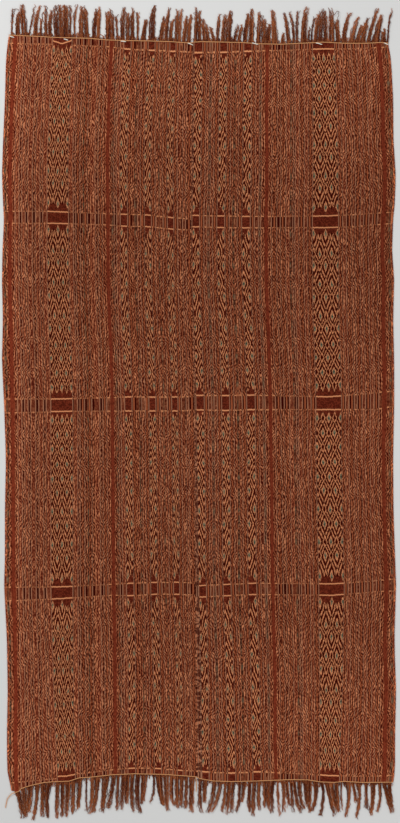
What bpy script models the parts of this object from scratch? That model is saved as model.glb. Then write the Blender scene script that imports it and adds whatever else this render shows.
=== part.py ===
"""Ikat woven cloth: two panels joined along a centre seam, laid flat with fringed ends.

Blender 4.5, metres, +Z up.  The cloth rests on z = 0 with its warp along Y, and the
origin is under the middle of the whole part.

The warp grid is the measure that the tables use.  A column counts warp yarns from
left to right, and a course counts the same pitch from the upper fringe downwards.
"""

from collections import namedtuple

import bmesh
import bpy
from mathutils import Vector

# Driving dimensions, in metres
CLOTH_WIDTH = 1.0192
CLOTH_THICKNESS = 0.0015
CLEARANCE = 0.0003
BACKING_GAP = 0.0004
BACKING_WIDTH = 0.004
TWINING_RADIUS = 0.0012
LOCK_HEIGHT = 0.0021
LOCK_TIP_HEIGHT = 0.0012

# The warp grid
YARNS_ACROSS = 392
YARN = CLOTH_WIDTH / YARNS_ACROSS

# In columns or courses: cloth left past its twining, the least spacing of a long
# edge's points from its corners and of a short edge's, and how far a backing runs
# past its first and last root
CLOTH_PAST_TWINING = 0.5
CORNER_SPACING = 1.0
ROOT_SPACING = 0.4
BACKING_MARGIN = 0.5

# A lock's sections after its root, and the share of its length that gives its direction
LOCK_STEPS = 4
LOOK_AHEAD = 0.05

# Colours, as linear red, green and blue
MAROON = (0.120, 0.024, 0.012)
RUST = (0.165, 0.033, 0.016)
FRINGE_BROWN = (0.190, 0.046, 0.022)
CORD_TAN = (0.480, 0.270, 0.130)

Edge = namedtuple("Edge", "course left seam right")
EDGES = (
    Edge(40, 8.2, 192.7, 387.2),
    Edge(48, 7.2, 192.5, 388.8),
    Edge(60, 6.0, 192.4, 391.0),
    Edge(100, 5.0, 192.0, 393.0),
    Edge(140, 3.2, 191.6, 393.3),
    Edge(175, 2.0, 191.3, 395.6),
    Edge(200, 3.0, 191.1, 395.0),
    Edge(220, 4.0, 191.0, 393.0),
    Edge(250, 2.6, 191.4, 392.0),
    Edge(280, 2.0, 192.0, 394.0),
    Edge(320, 3.0, 192.7, 393.0),
    Edge(360, 2.0, 193.3, 394.0),
    Edge(405, 4.2, 194.0, 394.0),
    Edge(460, 6.0, 194.3, 393.0),
    Edge(510, 5.0, 194.6, 393.4),
    Edge(560, 5.0, 194.9, 395.0),
    Edge(585, 4.2, 195.0, 396.0),
    Edge(640, 7.0, 195.3, 394.2),
    Edge(690, 7.8, 195.6, 396.0),
    Edge(735, 7.0, 195.8, 395.0),
    Edge(770, 7.2, 196.0, 395.0),
    Edge(778, 8.2, 196.1, 394.6),
    Edge(786, 10.0, 196.1, 391.6),
)

# Where each end of each panel stops, from its left corner to its right corner
End = namedtuple("End", "column course")
ENDS = {
    "top_left": (
        End(9.0, 35.2), End(20.0, 35.7), End(36.0, 36.5), End(54.0, 37.5), End(71.0, 38.0),
        End(89.0, 38.4), End(106.0, 40.0), End(121.0, 40.6), End(150.0, 41.1), End(171.0, 41.8),
        End(186.0, 42.9), End(192.7, 43.0),
    ),
    "top_right": (
        End(192.7, 42.3), End(202.0, 41.8), End(226.0, 42.3), End(241.0, 42.6), End(260.0, 43.9),
        End(281.0, 44.4), End(301.0, 43.4), End(323.0, 42.3), End(345.0, 43.4), End(366.0, 43.4),
        End(381.0, 42.6), End(388.0, 43.2),
    ),
    "bottom_left": (
        End(11.5, 790.2), End(14.5, 791.2), End(18.4, 791.4), End(21.4, 788.4), End(26.8, 786.5),
        End(34.4, 784.5), End(44.0, 782.4), End(54.0, 781.5), End(69.0, 781.0), End(79.0, 777.8),
        End(92.0, 776.9), End(112.0, 774.6), End(134.0, 773.6), End(166.0, 774.3), End(196.0, 775.9),
    ),
    "bottom_right": (
        End(196.1, 776.5), End(200.0, 778.5), End(213.0, 780.8), End(232.0, 781.4),
        End(257.0, 780.8), End(289.0, 779.5), End(308.0, 779.7), End(320.0, 781.7),
        End(334.0, 782.3), End(344.0, 781.2), End(363.0, 782.3), End(393.2, 782.0),
    ),
}

# Loose ends of the twining: column, course, and height of the cord's middle in radii
Tail = namedtuple("Tail", "column course lift")
CORNER_TAIL = (
    Tail(5.5, 807.5, 1.3), Tail(6.5, 803.0, 1.3), Tail(7.3, 799.0, 1.4),
    Tail(9.4, 796.0, 1.7), Tail(12.0, 793.4, 2.5), Tail(15.0, 792.2, 2.5),
)
SEAM_TAIL = (
    Tail(195.3, 776.5, 2.5), Tail(195.9, 777.8, 2.5), Tail(196.1, 780.0, 2.5),
    Tail(196.3, 782.4, 1.8), Tail(196.6, 785.6, 1.3), Tail(196.6, 788.6, 1.3), Tail(196.1, 791.4, 1.3),
)

# Locks of fringe, in order along each end: the root's columns, then the column,
# course and width halfway along, then the same at the tip
Lock = namedtuple("Lock", "left right mid_column mid_course mid_width tip_column tip_course tip_width")
LOCKS = {
    "top_left": (
        Lock(11.0, 12.4, 12.2, 20.0, 1.0, 13.6, 8.8, 1.0),
        Lock(15.3, 20.0, 17.6, 24.0, 3.4, 18.3, 13.0, 1.2),
        Lock(21.5, 27.0, 23.0, 18.0, 4.4, 22.0, 4.6, 1.6),
        Lock(28.0, 29.3, 31.9, 21.0, 1.1, 34.9, 5.1, 0.9),
        Lock(34.0, 37.8, 36.2, 21.0, 3.0, 40.6, 6.1, 1.0),
        Lock(39.8, 42.0, 40.9, 26.0, 1.6, 41.2, 18.0, 1.0),
        Lock(45.2, 47.5, 45.3, 20.0, 3.0, 44.9, 5.1, 2.4),
        Lock(48.8, 52.8, 50.2, 22.0, 3.2, 52.2, 10.2, 1.6),
        Lock(53.9, 59.0, 56.4, 20.0, 4.4, 57.6, 4.8, 2.0),
        Lock(59.8, 65.0, 62.0, 20.0, 4.4, 63.5, 5.6, 2.2),
        Lock(65.8, 71.2, 68.0, 20.0, 4.6, 69.0, 5.1, 2.0),
        Lock(74.0, 75.4, 74.6, 21.0, 1.2, 76.8, 5.1, 1.0),
        Lock(79.0, 83.4, 81.0, 22.0, 3.6, 81.8, 6.5, 1.4),
        Lock(84.2, 89.0, 85.6, 21.0, 3.8, 84.6, 4.8, 1.6),
        Lock(92.0, 95.6, 94.8, 21.0, 2.6, 97.0, 9.0, 1.3),
        Lock(96.4, 100.0, 98.8, 20.0, 3.0, 99.9, 6.6, 1.4),
        Lock(105.4, 109.2, 107.4, 24.0, 3.2, 107.6, 12.0, 2.0),
        Lock(110.0, 114.3, 111.6, 23.0, 3.6, 111.2, 9.2, 2.0),
        Lock(116.8, 118.6, 116.7, 25.0, 1.2, 116.2, 16.5, 1.0),
        Lock(120.7, 124.6, 122.8, 22.0, 3.6, 124.4, 7.1, 1.4),
        Lock(125.4, 129.4, 127.8, 24.0, 3.6, 128.4, 12.5, 2.0),
        Lock(130.2, 134.5, 132.4, 22.0, 3.6, 132.8, 8.2, 1.4),
        Lock(136.0, 138.6, 137.8, 23.0, 2.2, 136.9, 12.2, 1.2),
        Lock(141.0, 145.6, 145.0, 26.5, 3.0, 147.6, 20.5, 1.4),
        Lock(149.0, 154.5, 152.2, 22.0, 4.2, 154.5, 5.9, 1.4),
        Lock(158.3, 163.0, 162.6, 26.0, 2.6, 165.0, 17.0, 1.2),
        Lock(163.8, 168.0, 167.0, 24.0, 2.6, 168.7, 8.2, 1.4),
        Lock(168.8, 172.4, 171.4, 27.0, 2.4, 173.6, 19.5, 1.2),
        Lock(174.0, 177.0, 176.4, 24.0, 2.4, 177.4, 9.7, 1.2),
        Lock(177.8, 181.0, 180.0, 24.0, 2.6, 181.4, 9.2, 1.2),
        Lock(182.0, 185.8, 185.6, 27.0, 2.8, 186.8, 15.5, 1.4),
        Lock(186.6, 190.8, 189.4, 26.0, 3.2, 191.0, 14.8, 1.6),
    ),
    "top_right": (
        Lock(193.8, 197.2, 195.8, 25.0, 3.0, 195.9, 7.1, 1.4),
        Lock(198.0, 201.6, 199.4, 25.0, 2.8, 199.9, 11.2, 1.2),
        Lock(202.6, 205.8, 203.4, 30.0, 2.4, 202.6, 19.0, 1.2),
        Lock(206.6, 210.4, 207.0, 32.0, 2.6, 205.4, 24.0, 1.2),
        Lock(212.7, 215.2, 212.1, 34.0, 2.0, 209.6, 27.0, 1.0),
        Lock(216.0, 218.8, 218.2, 28.0, 2.6, 219.8, 14.3, 1.2),
        Lock(220.3, 224.8, 223.8, 28.0, 3.4, 225.4, 15.0, 1.6),
        Lock(225.6, 231.0, 229.2, 26.0, 4.0, 230.8, 10.7, 1.6),
        Lock(233.4, 236.2, 236.0, 33.0, 2.2, 238.6, 25.0, 1.2),
        Lock(237.0, 240.2, 240.2, 33.0, 2.4, 242.2, 24.5, 1.2),
        Lock(242.4, 247.4, 246.4, 28.0, 3.8, 248.4, 14.0, 1.6),
        Lock(248.2, 253.6, 251.6, 26.0, 4.0, 251.8, 8.9, 1.6),
        Lock(256.0, 260.2, 259.0, 27.0, 3.4, 260.0, 12.2, 1.6),
        Lock(261.0, 265.2, 263.6, 28.0, 3.4, 264.0, 16.3, 1.6),
        Lock(266.0, 270.4, 268.2, 32.0, 3.2, 269.0, 24.5, 1.4),
        Lock(271.8, 278.0, 273.8, 26.0, 4.2, 272.0, 10.5, 1.6),
        Lock(281.0, 284.2, 283.0, 38.0, 2.4, 283.6, 33.0, 1.2),
        Lock(286.0, 290.4, 286.8, 28.0, 2.8, 284.0, 13.3, 1.2),
        Lock(292.6, 295.0, 292.8, 26.0, 2.0, 289.4, 12.2, 1.0),
        Lock(295.8, 298.2, 297.0, 26.0, 2.4, 297.6, 11.2, 1.4),
        Lock(300.4, 306.2, 304.4, 24.0, 4.2, 307.0, 7.1, 1.4),
        Lock(308.0, 309.4, 308.9, 34.0, 1.1, 309.2, 26.5, 1.0),
        Lock(310.6, 312.2, 312.4, 28.0, 1.6, 315.4, 17.0, 1.0),
        Lock(313.2, 317.4, 316.8, 28.0, 3.2, 318.8, 14.6, 1.6),
        Lock(318.2, 322.4, 320.8, 26.0, 3.2, 321.9, 8.7, 1.6),
        Lock(323.2, 327.6, 325.2, 27.0, 3.6, 324.9, 11.5, 1.6),
        Lock(329.0, 334.2, 331.4, 25.0, 4.0, 331.0, 8.2, 1.6),
        Lock(335.4, 340.2, 337.4, 32.0, 3.4, 337.0, 20.0, 1.4),
        Lock(342.0, 346.8, 345.4, 28.0, 3.4, 350.0, 13.2, 1.8),
        Lock(349.2, 354.2, 353.6, 31.0, 3.2, 358.4, 17.0, 1.2),
        Lock(355.0, 359.6, 359.4, 33.0, 3.0, 362.2, 25.0, 1.4),
        Lock(360.4, 365.2, 364.4, 31.0, 3.2, 368.0, 18.5, 1.4),
        Lock(366.0, 370.4, 371.6, 28.0, 2.8, 377.8, 8.5, 1.2),
        Lock(371.8, 378.4, 378.4, 28.0, 3.2, 381.0, 15.0, 1.4),
        Lock(380.4, 386.2, 383.8, 36.0, 3.6, 384.0, 29.0, 1.6),
        Lock(387.0, 388.4, 389.0, 24.0, 1.2, 392.5, 8.0, 1.0),
    ),
    "bottom_left": (
        Lock(15.6, 20.6, 20.2, 803.0, 3.4, 22.6, 818.0, 2.0),
        Lock(21.4, 27.2, 25.2, 803.0, 3.8, 26.0, 816.5, 1.6),
        Lock(28.0, 33.6, 29.8, 800.0, 3.2, 28.8, 812.0, 1.4),
        Lock(34.6, 39.6, 36.6, 799.0, 2.6, 33.4, 819.6, 1.6),
        Lock(40.4, 45.6, 42.6, 800.0, 3.4, 42.4, 816.2, 2.0),
        Lock(46.4, 52.4, 46.9, 800.0, 2.8, 48.4, 818.0, 1.0),
        Lock(55.0, 59.8, 56.9, 800.0, 3.0, 57.0, 818.0, 1.6),
        Lock(60.6, 65.0, 62.6, 800.0, 2.6, 61.8, 816.0, 1.6),
        Lock(65.8, 70.6, 67.4, 800.0, 3.0, 65.8, 816.4, 1.8),
        Lock(71.4, 75.6, 73.0, 799.0, 2.6, 72.4, 814.0, 1.6),
        Lock(76.4, 82.6, 79.0, 797.0, 2.8, 76.6, 811.6, 1.6),
        Lock(86.0, 87.4, 86.2, 797.0, 1.2, 87.2, 811.0, 1.0),
        Lock(89.8, 94.0, 91.6, 798.0, 2.6, 89.8, 813.5, 1.6),
        Lock(94.8, 99.6, 95.8, 796.0, 2.8, 92.8, 812.5, 1.4),
        Lock(102.4, 109.6, 104.0, 797.0, 3.4, 102.2, 811.6, 1.6),
        Lock(111.8, 116.4, 110.6, 797.0, 3.0, 107.6, 808.4, 1.6),
        Lock(117.2, 119.8, 117.2, 797.0, 2.2, 117.4, 809.6, 1.4),
        Lock(121.6, 125.0, 122.0, 796.0, 2.6, 121.0, 809.4, 1.4),
        Lock(125.8, 130.2, 126.8, 794.0, 3.4, 126.4, 803.6, 1.8),
        Lock(131.0, 134.8, 131.8, 796.0, 3.0, 134.6, 811.0, 1.6),
        Lock(136.0, 140.4, 137.2, 796.0, 3.0, 140.4, 813.0, 1.4),
        Lock(141.2, 147.6, 142.6, 794.0, 3.4, 142.2, 804.0, 1.6),
        Lock(152.6, 154.4, 153.6, 791.0, 1.5, 149.4, 803.6, 1.0),
        Lock(155.4, 162.0, 161.2, 797.0, 2.6, 164.2, 804.5, 1.2),
        Lock(163.6, 168.6, 166.6, 796.0, 3.0, 167.8, 810.4, 1.4),
        Lock(170.4, 174.0, 171.8, 795.0, 2.4, 174.8, 806.0, 1.4),
        Lock(174.8, 179.2, 177.0, 796.0, 3.0, 177.8, 808.0, 1.6),
        Lock(180.0, 183.6, 181.2, 796.0, 2.8, 181.6, 807.4, 1.4),
        Lock(184.6, 188.2, 186.0, 796.0, 2.2, 184.9, 808.6, 1.4),
        Lock(189.6, 194.6, 191.6, 797.0, 3.2, 191.2, 812.0, 1.6),
    ),
    "bottom_right": (
        Lock(198.6, 202.4, 199.8, 796.0, 2.8, 201.6, 812.8, 1.4),
        Lock(203.2, 207.6, 204.6, 793.0, 2.8, 204.6, 802.0, 1.2),
        Lock(212.4, 216.0, 212.6, 797.0, 2.8, 208.0, 812.6, 1.2),
        Lock(218.4, 222.6, 217.6, 797.0, 2.4, 211.8, 811.6, 1.4),
        Lock(223.4, 226.4, 224.4, 796.0, 1.8, 221.8, 811.8, 1.2),
        Lock(227.4, 231.2, 228.4, 797.0, 2.8, 226.6, 813.6, 1.6),
        Lock(232.0, 235.6, 232.4, 796.0, 2.8, 231.4, 812.4, 1.4),
        Lock(237.8, 241.4, 239.2, 797.0, 2.2, 237.2, 812.4, 1.4),
        Lock(242.4, 246.8, 243.0, 793.0, 2.2, 241.6, 801.5, 1.1),
        Lock(248.0, 251.8, 249.2, 798.0, 2.8, 249.4, 811.4, 1.6),
        Lock(252.6, 256.6, 253.6, 798.0, 3.0, 252.8, 815.8, 1.8),
        Lock(257.4, 261.0, 258.6, 798.0, 2.8, 259.6, 809.6, 1.6),
        Lock(262.4, 266.4, 264.8, 796.0, 2.6, 264.4, 807.6, 1.4),
        Lock(267.2, 270.4, 268.2, 797.0, 2.2, 268.2, 813.6, 1.2),
        Lock(271.2, 274.6, 271.8, 795.0, 2.2, 271.6, 812.8, 1.4),
        Lock(276.8, 279.0, 277.8, 797.0, 1.8, 279.6, 815.4, 1.6),
        Lock(280.2, 284.0, 284.0, 794.0, 2.2, 282.9, 811.6, 1.4),
        Lock(285.0, 288.0, 288.2, 797.0, 2.0, 289.8, 805.4, 1.1),
        Lock(288.8, 291.8, 291.8, 796.0, 2.2, 292.8, 812.0, 1.6),
        Lock(292.6, 296.2, 296.4, 798.0, 2.4, 300.6, 813.4, 1.4),
        Lock(297.0, 301.6, 300.2, 796.0, 2.6, 303.6, 808.8, 1.4),
        Lock(302.6, 307.2, 306.2, 797.0, 2.2, 306.4, 806.0, 1.2),
        Lock(308.0, 312.2, 309.8, 796.0, 2.4, 309.0, 812.6, 1.4),
        Lock(313.0, 318.6, 315.8, 797.0, 2.6, 312.4, 811.8, 1.4),
        Lock(319.8, 323.0, 323.0, 797.0, 2.0, 320.0, 815.0, 1.8),
        Lock(324.0, 328.4, 329.8, 798.0, 2.2, 334.0, 815.6, 1.6),
        Lock(329.2, 333.6, 333.2, 797.0, 2.6, 336.2, 814.0, 1.4),
        Lock(334.4, 338.8, 337.2, 797.0, 2.8, 338.6, 812.0, 1.6),
        Lock(340.8, 342.2, 341.2, 797.0, 1.2, 342.4, 810.8, 1.0),
        Lock(345.0, 350.4, 348.6, 799.0, 2.2, 345.6, 816.6, 1.4),
        Lock(351.4, 354.6, 355.0, 795.0, 1.8, 355.8, 802.0, 1.1),
        Lock(355.4, 360.4, 359.4, 797.0, 2.4, 355.8, 818.0, 1.6),
        Lock(364.0, 367.6, 366.2, 797.0, 2.0, 366.4, 808.4, 1.2),
        Lock(369.6, 375.8, 373.0, 798.0, 3.0, 370.6, 815.0, 1.4),
        Lock(377.2, 380.8, 380.0, 797.0, 1.8, 377.0, 811.0, 1.2),
        Lock(382.0, 386.4, 387.0, 797.0, 2.2, 390.6, 812.8, 1.4),
        Lock(387.2, 391.6, 390.4, 796.0, 2.4, 393.2, 812.0, 1.4),
    ),
}


def clear_scene():
    """Remove every object that the file holds."""
    for thing in list(bpy.data.objects):
        bpy.data.objects.remove(thing, do_unlink=True)


def place(column, course, height=0.0):
    """Turn a place on the warp grid into metres."""
    return Vector((column * YARN, -course * YARN, height))


def read_line(rows, value, field, measure):
    """Read one measure of a table at a value of its field, straight between rows."""
    before = rows[0]
    for row in rows:
        if getattr(row, field) >= value:
            span = getattr(row, field) - getattr(before, field)
            share = (value - getattr(before, field)) / span if span else 0.0
            return getattr(before, measure) + share * (getattr(row, measure) - getattr(before, measure))
        before = row
    return getattr(before, measure)


def outward(end):
    """Say which way courses run away from the cloth at an end."""
    return -1.0 if end.startswith("top") else 1.0


def cloth_stop(end, column):
    """Give the course where the woven cloth stops, just past its twining."""
    return read_line(ENDS[end], column, "column", "course") + outward(end) * CLOTH_PAST_TWINING


def root_columns(end):
    """List the columns of a backing's corners: its two ends and each root's edges."""
    locks = LOCKS[end]
    columns = [locks[0].left - BACKING_MARGIN]
    for lock in locks:
        columns += [lock.left, lock.right]
    columns.append(locks[-1].right + BACKING_MARGIN)
    return columns


def cloth_material(name, colour, roughness=0.9):
    """Make a plain woven finish."""
    material = bpy.data.materials.new(name)
    material.use_nodes = True
    shader = material.node_tree.nodes["Principled BSDF"]
    shader.inputs["Base Color"].default_value = (*colour, 1.0)
    shader.inputs["Roughness"].default_value = roughness
    shader.inputs["Metallic"].default_value = 0.0
    material.diffuse_color = (*colour, 1.0)
    return material


def add_object(name, mesh_source, material):
    """Turn a bmesh into a named object."""
    mesh = bpy.data.meshes.new(name)
    mesh_source.to_mesh(mesh)
    mesh_source.free()
    mesh.materials.append(material)
    thing = bpy.data.objects.new(name, mesh)
    bpy.context.scene.collection.objects.link(thing)
    return thing


def panel_outline(side):
    """Walk round one panel: down its left edge, along its foot, up and back."""
    top = "top_" + side
    bottom = "bottom_" + side
    left_measure, right_measure = ("left", "seam") if side == "left" else ("seam", "right")
    half_gap = CLEARANCE / 2.0 / YARN
    shift = {"left": 0.0, "right": 0.0, "seam": half_gap if side == "right" else -half_gap}
    corners = {
        "top": (ENDS[top][0].column, ENDS[top][-1].column),
        "bottom": (ENDS[bottom][0].column, ENDS[bottom][-1].column),
    }

    def long_edge(measure, top_column, bottom_column):
        first = cloth_stop(top, top_column)
        last = cloth_stop(bottom, bottom_column)
        points = [(top_column + shift[measure], first)]
        for row in EDGES:
            if first + CORNER_SPACING < row.course < last - CORNER_SPACING:
                points.append((getattr(row, measure) + shift[measure], row.course))
        points.append((bottom_column + shift[measure], last))
        return points

    def short_edge(end):
        low = ENDS[end][0].column
        high = ENDS[end][-1].column
        inner = [column for column in root_columns(end) if low + ROOT_SPACING < column < high - ROOT_SPACING]
        return [(column, cloth_stop(end, column)) for column in inner]

    down = long_edge(left_measure, corners["top"][0], corners["bottom"][0])
    up = long_edge(right_measure, corners["top"][1], corners["bottom"][1])
    return down + short_edge(bottom) + up[::-1] + short_edge(top)[::-1]


def make_panel(side, material):
    """Cut one woven panel and give it the cloth's thickness."""
    mesh = bmesh.new()
    corners = [mesh.verts.new(place(column, course)) for column, course in panel_outline(side)]
    sheet = mesh.faces.new(corners)
    raised = bmesh.ops.extrude_face_region(mesh, geom=[sheet])
    upper = [item for item in raised["geom"] if isinstance(item, bmesh.types.BMVert)]
    bmesh.ops.translate(mesh, verts=upper, vec=(0.0, 0.0, CLOTH_THICKNESS))
    bmesh.ops.recalc_face_normals(mesh, faces=mesh.faces)
    return add_object("panel_" + side, mesh, material)


def bend(start, middle, stop, share):
    """Read a smooth curve that passes its middle point halfway."""
    first = (1.0 - share) * (1.0 - 2.0 * share)
    second = 4.0 * share * (1.0 - share)
    third = share * (2.0 * share - 1.0)
    return first * start + second * middle + third * stop


def lock_sections(lock, root_course):
    """List a lock's sections after its root: middle, half width along x and y, height."""
    start = Vector(((lock.left + lock.right) / 2.0, root_course))
    middle = Vector((lock.mid_column, lock.mid_course))
    stop = Vector((lock.tip_column, lock.tip_course))
    root_width = lock.right - lock.left
    sections = []
    for step in range(1, LOCK_STEPS + 1):
        share = step / LOCK_STEPS
        here = bend(start, middle, stop, share)
        before = bend(start, middle, stop, share - LOOK_AHEAD)
        ahead = bend(start, middle, stop, share + LOOK_AHEAD) - before
        across = Vector((abs(ahead.y), -ahead.x if ahead.y > 0.0 else ahead.x)).normalized()
        if share <= 0.5:
            width = root_width + (lock.mid_width - root_width) * share * 2.0
        else:
            width = lock.mid_width + (lock.tip_width - lock.mid_width) * (share * 2.0 - 1.0)
        height = LOCK_HEIGHT if step < LOCK_STEPS else LOCK_TIP_HEIGHT
        sections.append((here, across * width / 2.0, height))
    return sections


def make_backing(mesh, end):
    """Build the narrow strip that holds the roots, and return its outer faces."""
    away = outward(end)
    gap = away * BACKING_GAP / YARN
    depth = away * BACKING_WIDTH / YARN
    rings = []
    for column in root_columns(end):
        inner = cloth_stop(end, column) + gap
        outer = inner + depth
        rings.append([
            mesh.verts.new(place(column, inner)),
            mesh.verts.new(place(column, inner, CLOTH_THICKNESS)),
            mesh.verts.new(place(column, outer, CLOTH_THICKNESS)),
            mesh.verts.new(place(column, outer)),
        ])
    outer_faces = []
    for here, after in zip(rings, rings[1:]):
        for corner in range(4):
            beside = (corner + 1) % 4
            face = mesh.faces.new((here[corner], after[corner], after[beside], here[beside]))
            if corner == 2:
                outer_faces.append(face)
    mesh.faces.new(rings[0])
    mesh.faces.new(rings[-1][::-1])
    return outer_faces


def grow_lock(mesh, face, lock, root_course):
    """Extrude one lock from its root face, one section after the other."""
    for here, half, height in lock_sections(lock, root_course):
        grown = bmesh.ops.extrude_discrete_faces(mesh, faces=[face])
        face = grown["faces"][0]
        centre = sum((corner.co.x for corner in face.verts)) / len(face.verts)
        for corner in face.verts:
            sign = 1.0 if corner.co.x > centre else -1.0
            top = height if corner.co.z > 0.0 else 0.0
            corner.co = place(here.x + sign * half.x, here.y + sign * half.y, top)


def make_fringe(end, material):
    """Make one fringe: a backing with its locks."""
    mesh = bmesh.new()
    outer_faces = make_backing(mesh, end)
    reach = outward(end) * (BACKING_GAP + BACKING_WIDTH) / YARN
    for number, lock in enumerate(LOCKS[end]):
        face = outer_faces[2 * number + 1]
        middle = (lock.left + lock.right) / 2.0
        grow_lock(mesh, face, lock, cloth_stop(end, middle) + reach)
    bmesh.ops.recalc_face_normals(mesh, faces=mesh.faces)
    return add_object("fringe_" + end, mesh, material)


def twining_route(end):
    """List the points of a twining cord: along the end, with the tails it has."""
    lying = CLOTH_THICKNESS + CLEARANCE + TWINING_RADIUS
    rows = ENDS[end]
    route = [place(row.column, row.course, lying) for row in rows]
    if end == "bottom_left":
        tail = [place(row.column, row.course, row.lift * TWINING_RADIUS) for row in CORNER_TAIL]
        seam = [place(row.column, row.course, row.lift * TWINING_RADIUS) for row in SEAM_TAIL]
        route = tail + route[2:-1] + seam
    return route


def make_twining(end, material):
    """Lay one twined cord on the end of its panel."""
    curve = bpy.data.curves.new("twining_" + end, "CURVE")
    curve.dimensions = "3D"
    curve.bevel_depth = TWINING_RADIUS
    curve.bevel_resolution = 1
    curve.use_fill_caps = True
    curve.materials.append(material)
    spline = curve.splines.new("POLY")
    points = twining_route(end)
    spline.points.add(len(points) - 1)
    for target, point in zip(spline.points, points):
        target.co = (*point, 1.0)
    thing = bpy.data.objects.new("twining_" + end, curve)
    bpy.context.scene.collection.objects.link(thing)
    return thing


def box_middle(things):
    """Find the middle of the ground that a list of objects covers."""
    bpy.context.view_layer.update()
    corners = [thing.matrix_world @ Vector(corner) for thing in things for corner in thing.bound_box]
    xs = [corner.x for corner in corners]
    ys = [corner.y for corner in corners]
    return Vector(((min(xs) + max(xs)) / 2.0, (min(ys) + max(ys)) / 2.0, 0.0))


def main():
    """Build the cloth, and bring the middle of its footprint to the origin."""
    clear_scene()
    woven = {
        "left": cloth_material("woven_maroon", MAROON),
        "right": cloth_material("woven_rust", RUST),
    }
    yarn = cloth_material("fringe_yarn", FRINGE_BROWN)
    cord = cloth_material("twining_cord", CORD_TAN, roughness=0.8)
    things = [make_panel(side, woven[side]) for side in ("left", "right")]
    things += [make_fringe(end, yarn) for end in LOCKS]
    things += [make_twining(end, cord) for end in ENDS]
    middle = box_middle(things)
    for thing in things:
        thing.location -= middle


main()
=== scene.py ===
"""Looks of the ikat woven cloth: its weave, stripes and resist-dyed figures, fringes and threads.

Blender 4.5, metres, +Z up. A column counts warp yarns from left to right and a course
counts the same pitch from the upper fringe downwards, as in the part's own tables.
"""

import math
import random
from collections import namedtuple

import bpy
import numpy as np
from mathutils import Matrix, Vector


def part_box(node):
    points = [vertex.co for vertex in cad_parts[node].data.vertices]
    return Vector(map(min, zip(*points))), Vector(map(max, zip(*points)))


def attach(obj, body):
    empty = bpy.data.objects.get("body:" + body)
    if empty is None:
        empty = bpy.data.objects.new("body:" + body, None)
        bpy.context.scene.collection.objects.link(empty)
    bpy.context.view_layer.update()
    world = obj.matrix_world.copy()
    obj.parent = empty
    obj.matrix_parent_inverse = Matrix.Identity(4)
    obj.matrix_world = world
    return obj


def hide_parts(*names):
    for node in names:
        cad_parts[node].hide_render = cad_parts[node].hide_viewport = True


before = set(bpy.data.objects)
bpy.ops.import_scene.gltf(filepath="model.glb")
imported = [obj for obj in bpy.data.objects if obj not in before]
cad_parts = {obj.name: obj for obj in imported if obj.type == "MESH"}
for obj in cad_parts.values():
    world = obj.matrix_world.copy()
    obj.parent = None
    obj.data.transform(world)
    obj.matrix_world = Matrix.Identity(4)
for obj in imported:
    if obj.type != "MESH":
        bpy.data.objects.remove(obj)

bl_info = {
    "name": "Ikat woven cloth looks",
    "version": (1, 0, 0),
    "blender": (4, 5, 0),
    "location": "View3D > Sidebar > Cloth",
    "description": "Builds the woven panels, fringes, twined ends and threads of an ikat cloth",
    "category": "Object",
}

# The warp grid
YARN = 0.0026
LEFTMOST_COLUMN = 2.0
TOPMOST_COURSE = 34.7
CLOTH_PAST_TWINING = 0.5
CLOTH_THICKNESS = 0.0015
HALF_SEAM_GAP = 0.00015

# The long edges: some courses, and each edge's column at each of them. Then the column and course
# of each edge's upper and lower end
EDGES = {
    "course": (
        48, 60, 100, 140, 175, 200, 220, 250, 280, 320, 360, 405, 460, 510, 560, 585, 640, 690, 735, 770,
    ),
    "left": (7.2, 6, 5, 3.2, 2, 3, 4, 2.6, 2, 3, 2, 4.2, 6, 5, 5, 4.2, 7, 7.8, 7, 7.2),
    "seam": (
        192.5, 192.4, 192, 191.6, 191.3, 191.1, 191, 191.4, 192, 192.7, 193.3, 194, 194.3, 194.6, 194.9,
        195, 195.3, 195.6, 195.8, 196,
    ),
    "right": (
        388.8, 391, 393, 393.3, 395.6, 395, 393, 392, 394, 393, 394, 394, 393, 393.4, 395, 396, 394.2, 396,
        395, 395,
    ),
}
CORNERS = {
    "left": (9, 34.7, 11.5, 790.7),
    "seam": (192.7, 42.5, 196, 776.4),
    "right": (388, 42.7, 393.2, 782.5),
}

# Where the edges lie in the stripes' layout
LAYOUT_EDGES = {"left": 3.9, "seam": 191.0, "right": 393.0}

# Where each end of each panel stops: column, course
ENDS = {
    "top_left": (
        (9, 35.2), (20, 35.7), (36, 36.5), (54, 37.5), (71, 38), (89, 38.4), (106, 40), (121, 40.6),
        (150, 41.1), (171, 41.8), (186, 42.9), (192.7, 43),
    ),
    "top_right": (
        (192.7, 42.3), (202, 41.8), (226, 42.3), (241, 42.6), (260, 43.9), (281, 44.4), (301, 43.4),
        (323, 42.3), (345, 43.4), (366, 43.4), (381, 42.6), (388, 43.2),
    ),
    "bottom_left": (
        (11.5, 790.2), (14.5, 791.2), (18.4, 791.4), (21.4, 788.4), (26.8, 786.5), (34.4, 784.5),
        (44, 782.4), (54, 781.5), (69, 781), (79, 777.8), (92, 776.9), (112, 774.6), (134, 773.6),
        (166, 774.3), (196, 775.9),
    ),
    "bottom_right": (
        (196.1, 776.5), (200, 778.5), (213, 780.8), (232, 781.4), (257, 780.8), (289, 779.5), (308, 779.7),
        (320, 781.7), (334, 782.3), (344, 781.2), (363, 782.3), (393.2, 782),
    ),
}

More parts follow.
